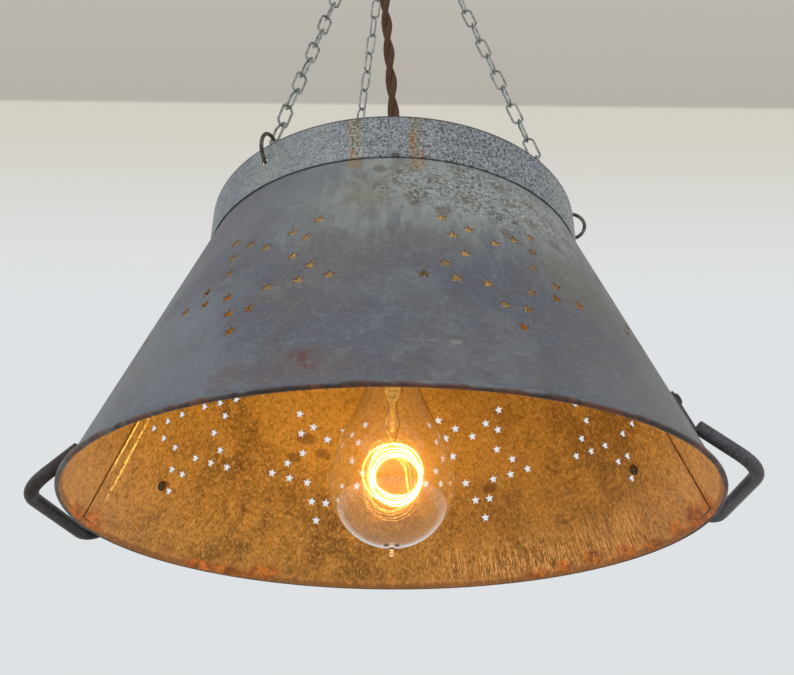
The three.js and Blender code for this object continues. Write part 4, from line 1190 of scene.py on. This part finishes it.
def zinc_inside():
    """The sheet's inner face: tan and felted, with runs and rust towards the rim."""
    look = Look("zinc_inside", Metallic=0.15)
    turn, height = look.on_shade()
    cloud = look.noise(22, 4, 0.6, 0.6)
    mottle = look.noise(90, 5, 0.65, 0.6)
    ragged = look.noise(45, 5, 0.65, 0.9)
    felt = look.drawn_noise(900, 380, 4, 0.7, 0.3)
    runs = look.drawn_noise(330, 42, 3, 0.6, 1.2)
    look.base = cloud.span(0.36, 0.62).mix((108, 86, 44), (154, 126, 70))
    look.coat(mottle.span(0.5, 0.7) * 0.5, (172, 140, 86))
    look.coat(mottle.span(0.46, 0.3) * 0.75, (84, 62, 30))
    look.coat(height.span(50, 96) * abs(turn).span(128, 168) * 0.42, (206, 166, 84))
    look.coat(height.span(75, 15) * abs(turn).span(135, 85) * 0.7, (178, 150, 124))
    flecks = look.noise(300, 4, 0.7, 0.5)
    look.coat(felt.span(0.51, 0.62) * 0.42, (206, 176, 116))
    look.coat(felt.span(0.49, 0.38) * 0.45, (66, 48, 24))
    look.coat(flecks.span(0.52, 0.64) * 0.36, (206, 178, 114))
    look.coat(flecks.span(0.48, 0.36) * 0.4, (64, 46, 22))
    # Painted shade: the inner wall darker from the right side round towards the back.
    look.coat(turn.span(82, 108) * turn.span(179, 150) * 0.26, (84, 62, 40))
    blots = [(-155, 107, 4, 5), (-160, 98, 3, 5), (-152, 92, 3, 4), (150, 70, 3, 4)]
    look.coat(look.patches(ragged, blots) * 0.6, (74, 52, 32))
    side = height.span(46, 10) * turn.span(95, 120) * turn.span(178, 160)
    look.coat(abs(runs - 0.5).span(0.035, 0.012) * side * 0.8, (216, 184, 144))
    look.coat(runs.span(0.56, 0.68) * height.span(34, 6) * 0.4, (84, 58, 38))
    look.coat((mottle * 9 + height).span(11, 7) * 0.35, (176, 142, 104))
    look.coat((flecks * 6 + height).span(6.4, 4.2) * 0.6, (92, 66, 46))
    rust_places = [(-133, 2, 5, 5), (-150, 5, 5, 7), (-141, 2, 12, 4), (-97, 3, 6, 8), (-90, 0,
        5, 10), (83, 4, 4, 9), (90, 5, 6, 8), (99, 5, 4, 6), (108, 3, 5, 4), (117, 5, 4, 6),
        (126, 6, 4, 6), (134, 5, 3, 5), (142, 3, 4, 4), (-115.5, 44, 1.3, 5)]
    rust = look.patches(ragged, rust_places) * flecks.span(0.34, 0.56)
    rust_tone = mottle.span(0.42, 0.6).mix((98, 52, 22), (190, 124, 62))
    look.coat(rust * 0.85, rust_tone)
    # Painted highlights: two broken bright lines along the lap of the left-hand seam, standing for
    # the bulb's light glinting on its edges.
    for at_turn, wide, low_end, high_end in ((-98.2, 0.65, 14, 108), (-93.7, 0.6, 26, 112)):
        line = abs(turn - at_turn).span(wide, wide / 3) * flecks.span(0.4, 0.54)
        ends = height.span(low_end, low_end + 14) * height.span(high_end, high_end - 14)
        look.coat(line * ends, (255, 246, 180))
    rough = mottle.span(0.3, 0.7, 0.5, 0.68)
    return look.finish(rough, felt + mottle * 0.6, 0.28)


def zinc_band():
    """The foot band: fresh, gritty spangle with two ochre runs and dark edges."""
    look = Look("zinc_band", Metallic=0.35)
    turn, height = look.on_shade()
    cloud = look.noise(20, 4, 0.6, 0.5)
    grit = look.noise(620, 4, 0.85)
    blot = look.noise(160, 4, 0.7, 0.4)
    ragged = look.noise(70, 5, 0.65, 0.5)
    look.base = cloud.span(0.35, 0.65).mix((130, 138, 148), (150, 157, 158))
    look.coat(blot.span(0.5, 0.68) * 0.5, (164, 170, 170))
    worn = turn.span(-30, 0) * 0.5 + 0.5
    mask = look.patches(ragged, [(3.9, 190, 2.3, 40), (-11.5, 195, 2.1, 32), (-13, 205, 1.8, 12)])
    look.coat(mask * 0.6, (150, 134, 92))
    mask = look.patches(ragged, [(3.2, 188, 0.9, 13), (5.4, 180, 1.1, 6), (-12.6, 181, 0.9, 6)])
    look.coat(mask * 0.75, (168, 118, 58))
    look.coat(grit.span(0.51, 0.59) * worn * 0.75, (198, 204, 204))
    look.coat(grit.span(0.49, 0.41) * worn * 0.95, (50, 54, 70))
    look.coat(look.patches(ragged, [(-1.4, 179, 2, 2.5)]) * 0.8, (62, 60, 48))
    look.coat(height.span(BAND_TOP - 1.7, BAND_TOP - 0.7) * 0.85, (70, 60, 50))
    # Painted shade: a dark line on the band's lower edge, where it stands out over the wall.
    look.coat(height.span(WALL_HEIGHT + 0.5, WALL_HEIGHT) * 0.3, (58, 52, 50))
    return look.finish(grit.span(0.3, 0.7, 0.42, 0.6), grit, 0.12)


def old_bar():
    """The handles' steel: brown-black, with a painted bluish highlight on the right handle's upper
    side and painted shade on each handle's back half.
    """
    look = Look("old_bar", Metallic=0.45)
    cloud = look.noise(70, 4, 0.65, 0.4)
    grain = look.noise(600, 3, 0.7)
    look.base = cloud.span(0.35, 0.65).mix((66, 58, 56), (86, 82, 86))
    turn, _ = look.on_shade()
    # Painted highlight: bluish over the right handle.
    look.coat(turn.span(40, 80) * grain.span(0.35, 0.6) * 0.7, (120, 122, 134))
    # Painted shade: darker on each handle's back half.
    look.coat(abs(turn).span(86, 100) * 0.6, (34, 27, 24))
    look.coat(cloud.span(0.58, 0.7) * 0.6, (104, 70, 50))
    return look.finish(grain.span(0.3, 0.7, 0.42, 0.62), grain, 0.08)


def plain_metal(name, dark, light, size, metal, low, high, lift=0.05):
    """A metal whose tone, gloss and surface a noise varies, for the smaller parts."""
    look = Look(name, Metallic=metal)
    cloud = look.noise(1000 / size, 4, 0.6, 0.3)
    grain = look.noise(4000 / size, 3, 0.6)
    look.base = cloud.span(0.35, 0.65).mix(dark, light)
    return look.finish(grain.span(0.3, 0.7, low, high), grain, lift)


def braided_cloth():
    """Brown cotton braid: two families of slanting threads along the cord's own UV."""
    look = Look("brown_cloth", Metallic=0.0)
    across, along, _ = lay(look.tree, "UVMap", uv_map="cloth").split()
    girth, run = across * (2 * pi * 8), along * (2 * pi * 5)
    one, other = (girth + run).maths("SINE"), (girth - run).maths("SINE")
    weave = one | other
    wear = look.noise(160, 4, 0.6)
    look.base = weave.span(-0.2, 0.9).mix((44, 30, 20), (112, 78, 54))
    look.coat((one * other).span(0.2, 0.9) * 0.35, (136, 102, 74))
    look.coat(wear.span(0.5, 0.7) * 0.35, (84, 62, 46))
    return look.finish(wear.span(0.3, 0.7, 0.78, 0.95), weave, 0.25)


def lit_glass(name, tint, high, low, strength, painted_haze_strength=0.0):
    """Clear glass with a painted golden glow between two heights, standing in for the filament's
    light that the glass carries, and a faint painted glow level with the filament."""
    look = Look(name, Transmission_Weight=1.0, Roughness=0.0, IOR=1.5, Metallic=0.0,
        Emission_Strength=strength, Base_Color=colour(tint))
    shadow = look.tree.nodes.new("ShaderNodeLightPath").outputs["Is Shadow Ray"]
    surface = lay(look.tree, "MixShader", Mask(look.tree, shadow),
        Mask(look.tree, look.shader.outputs["BSDF"]), lay(look.tree, "BsdfTransparent"))
    feed(look.tree.nodes["Material Output"].inputs["Surface"], surface)
    level = look.place.split()[2]
    ripple = look.noise(260, 3, 0.6, 0.8).span(0.38, 0.66, 0.15, 1)
    # Painted light: a golden emission glow on the glass where it carries the filament's light, and
    # a faint painted haze glow level with the filament.
    painted_gleam = level.span(high * MM, low * MM) * ripple
    painted_haze_glow = level.span((RIM + 78) * MM, (RIM + 40) * MM)
    painted_haze_glow = painted_haze_glow * level.span((RIM - 14) * MM, (RIM + 12) * MM) * ripple * painted_haze_strength
    feed(look.shader.inputs["Emission Color"], (painted_gleam + painted_haze_glow).mix((0, 0, 0), (255, 192, 89)))
    return look.made


def glowing():
    """White-hot wire, cooler towards its left end."""
    look = Look("white_hot_wire", Roughness=0.5, Emission_Strength=8.5,
        Base_Color=colour((255, 190, 110)))
    heat = look.place.split()[0].span(-0.0165, -0.011)
    feed(look.shader.inputs["Emission Color"], heat.mix((145, 120, 70), (255, 212, 129)))
    look.made.cycles.emission_sampling = "NONE"
    return look.made


OUTSIDE, INSIDE, BAND_ZINC, OLD_BAR = zinc_outside(), zinc_inside(), zinc_band(), old_bar()
# The punched edges' warm tan is painted light, standing in for the bulb's orange glow seen at the
# stars.
CUT_EDGE = plain_metal("cut_edge", (132, 104, 74), (166, 132, 92), 4, 0.2, 0.4, 0.6)
OLD_STEEL = plain_metal("old_steel", (60, 55, 52), (86, 80, 76), 8, 0.6, 0.4, 0.65)
RING_STEEL = plain_metal("worn_ring_steel", (70, 66, 60), (128, 122, 112), 4, 0.5, 0.45, 0.65)
BRIGHT_WIRE = plain_metal("bright_wire", (132, 132, 130), (182, 183, 182), 4, 0.8, 0.3, 0.5)
BRASS = plain_metal("brass", (150, 112, 60), (190, 152, 86), 9, 0.9, 0.25, 0.42)
CAST_PLASTIC = plain_metal("black_moulding", (22, 20, 19), (34, 31, 29), 14, 0, 0.35, 0.5)
CERAMIC = plain_metal("glazed_ceramic", (222, 216, 202), (236, 232, 222), 20, 0, 0.2, 0.3)
SLEEVE = plain_metal("brown_sleeve", (84, 54, 34), (112, 74, 50), 3, 0, 0.7, 0.85)
CLOTH, GLOW = braided_cloth(), glowing()
BULB_GLASS = lit_glass("bulb_glass", (252, 249, 243), RIM - 18, RIM - 19.6, 0.5, 0.12)
STEM_GLASS = lit_glass("stem_glass", (250, 240, 222), RIM + 112, RIM + 100, 0.36)


def painted(piece, *materials):
    piece.data.materials.clear()
    for made in materials:
        piece.data.materials.append(made)


def wall_finishes(piece):
    """Outer face, inner face and the punched edges each get their own finish."""
    painted(piece, OUTSIDE, INSIDE, CUT_EDGE)
    for face in piece.data.polygons:
        away = Vector((face.center.x, face.center.y, 0)).normalized()
        facing = face.normal.dot(away)
        if face.center.z / MM - RIM < 1.95:
            face.material_index = 0 if facing > -0.6 else 1
        else:
            face.material_index = 0 if facing > 0.7 else 1 if facing < -0.7 else 2


wall_finishes(wall_front)
wall_finishes(wall_back)

# What each piece stands for, its finish and its body

ZINC, STEEL, DARK = (BAND_ZINC, "zinc"), (BRIGHT_WIRE, "bright_steel"), (OLD_STEEL, "dark_steel")
YELLOW, BLACK, WHITE = (BRASS, "brass"), (CAST_PLASTIC, "black_plastic"), (CERAMIC, "ceramic")
PIECES = {
    "lamp": [
        (wall_front, (None, "zinc"), "wall_front", "rim_wire"),
        (wall_back, (None, "zinc"), "wall_back"),
        (band, ZINC, "foot_band"),
        (plate, ZINC, "base_plate"),
        (nipple, YELLOW, "nipple"),
        (washer, STEEL, "nipple_washer"),
        (nut, YELLOW, "nipple_nut"),
        (grip, BLACK, "cord_grip"),
        (holder_cap, BLACK, "lampholder_cap"),
        (holder_skirt, BLACK, "lampholder_skirt"),
        (insulator, WHITE, "lampholder_insulator"),
        (screw_shell, YELLOW, "screw_shell"),
        (contact, YELLOW, "centre_contact"),
    ],
    "bulb": [
        (glass, (BULB_GLASS, "bulb_glass"), "bulb_glass"),
        (bulb_cap, YELLOW, "bulb_cap"),
        (cap_insulator, BLACK, "bulb_cap_insulator"),
        (solder, STEEL, "bulb_contact"),
        (stem, (STEM_GLASS, "bulb_glass"), "bulb_stem"),
        (filament, (GLOW, "glow"), "filament"),
    ],
    "ring": [(suspension, STEEL, "suspension_ring")],
    "ceiling_fitting": [
        (ceiling_plate, STEEL, "ceiling_plate"),
        (hook, STEEL, "ceiling_hook"),
        (terminals, WHITE, "terminal_block"),
    ],
    "canopy": [
        (canopy, DARK, "canopy"),
        (collar, YELLOW, "canopy_collar"),
        (bushing, BLACK, "canopy_bushing"),
    ],
}
for side in ("left", "right"):
    PIECES["lamp"] += [
        (handles[side], (OLD_BAR, "dark_steel"), "handle_" + side),
        (terminal_screws[side], YELLOW, "terminal_screw_" + side),
        (leads[side], (SLEEVE, "cloth"), "lead_" + side),
    ]
    PIECES["bulb"].append((supports[side], STEEL, "support_wire_" + side))
for key, head in rivets.items():
    PIECES["lamp"].append((head, DARK, "rivet_" + key))
for side in CHAINS:
    PIECES["lamp"] += [
        (chains[side], STEEL, "chain_" + side),
        (jump_rings[side], (RING_STEEL, "dark_steel"), "jump_ring_" + side),
    ]
for body, pieces in PIECES.items():
    for piece, (finish, slot), *nodes in pieces:
        if finish:
            painted(piece, finish)
        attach(piece, body)
        for node in nodes:
            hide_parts(node)
for piece in (upper_cord, lower_cord):
    painted(piece, CLOTH)

# Light, room and floor


def room():
    """Pale walls and floor and a greyer ceiling round the camera, by direction."""
    world = bpy.context.scene.world or bpy.data.worlds.new("room")
    bpy.context.scene.world = world
    world.use_nodes = True
    tree = world.node_tree
    x, y, z = lay(tree, "VectorRotate", rotation_type="Z_AXIS",
        named={"Vector": lay(tree, "TexCoord"), "Angle": 0.025}).split()
    rise = z / (abs(x) | abs(y))
    wall = rise.span(0.58, 0.97).mix((223, 226, 228), (211, 207, 196))
    ceiling = rise.span(0.97, 1.5).mix((182, 178, 169), (196, 192, 184))
    backdrop = tree.nodes["Background"]
    feed(backdrop.inputs["Color"], rise.span(0.965, 0.974).mix(wall, ceiling))
    backdrop.inputs["Strength"].default_value = 1


room()


def light_of(kind, name, place, power, tint=(1, 1, 1)):
    data = bpy.data.lights.new(name, kind)
    data.energy = power
    data.color = tint
    light = added(name, data)
    light.location = place
    return light


front_light = light_of("AREA", "soft_front", Vector((-1.2, -1.8, 0.2)), 6)
front_light.data.shape = "DISK"
front_light.data.size = 1.4
aim = Vector((0, 0, -0.7)) - front_light.location
front_light.rotation_euler = aim.to_track_quat("-Z", "Y").to_euler()
lamp_light = light_of("POINT", "bulb_light", UP * (RIM + FILAMENT_CENTRE) * MM, 1.75,
    (1.0, 0.52, 0.07))
lamp_light.data.shadow_soft_size = 0.018
lamp_light.parent = filament
lamp_light.visible_camera = False
lamp_light.visible_transmission = False
lamp_light.visible_glossy = False

start()
bpy.ops.mesh.primitive_plane_add(size=8, location=(0, 0, -2.4))
floor = newest("pale_floor")
bpy.ops.object.transform_apply(location=True)
painted(floor, plain_metal("pale_floor", (214, 215, 214), (220, 220, 218), 300, 0, 0.6, 0.7))
bpy.context.scene.view_settings.view_transform = "Standard"


def soft_glow():
    """A faint halo round what is brighter than white."""
    scene = bpy.context.scene
    scene.use_nodes = True
    tree = scene.node_tree
    layers = next(n for n in tree.nodes if n.bl_idname == "CompositorNodeRLayers")
    finish = next(n for n in tree.nodes if n.bl_idname == "CompositorNodeComposite")
    halo = tree.nodes.new("CompositorNodeGlare")
    halo.glare_type = "FOG_GLOW"
    for key, value in {"Threshold": 1.05, "Strength": 1.0, "Tint": (1, 0.66, 0.28, 1),
            "Size": 0.65}.items():
        feed(halo.inputs[key], value)
    tree.links.new(layers.outputs["Image"], halo.inputs["Image"])
    tree.links.new(halo.outputs["Image"], finish.inputs["Image"])


soft_glow()
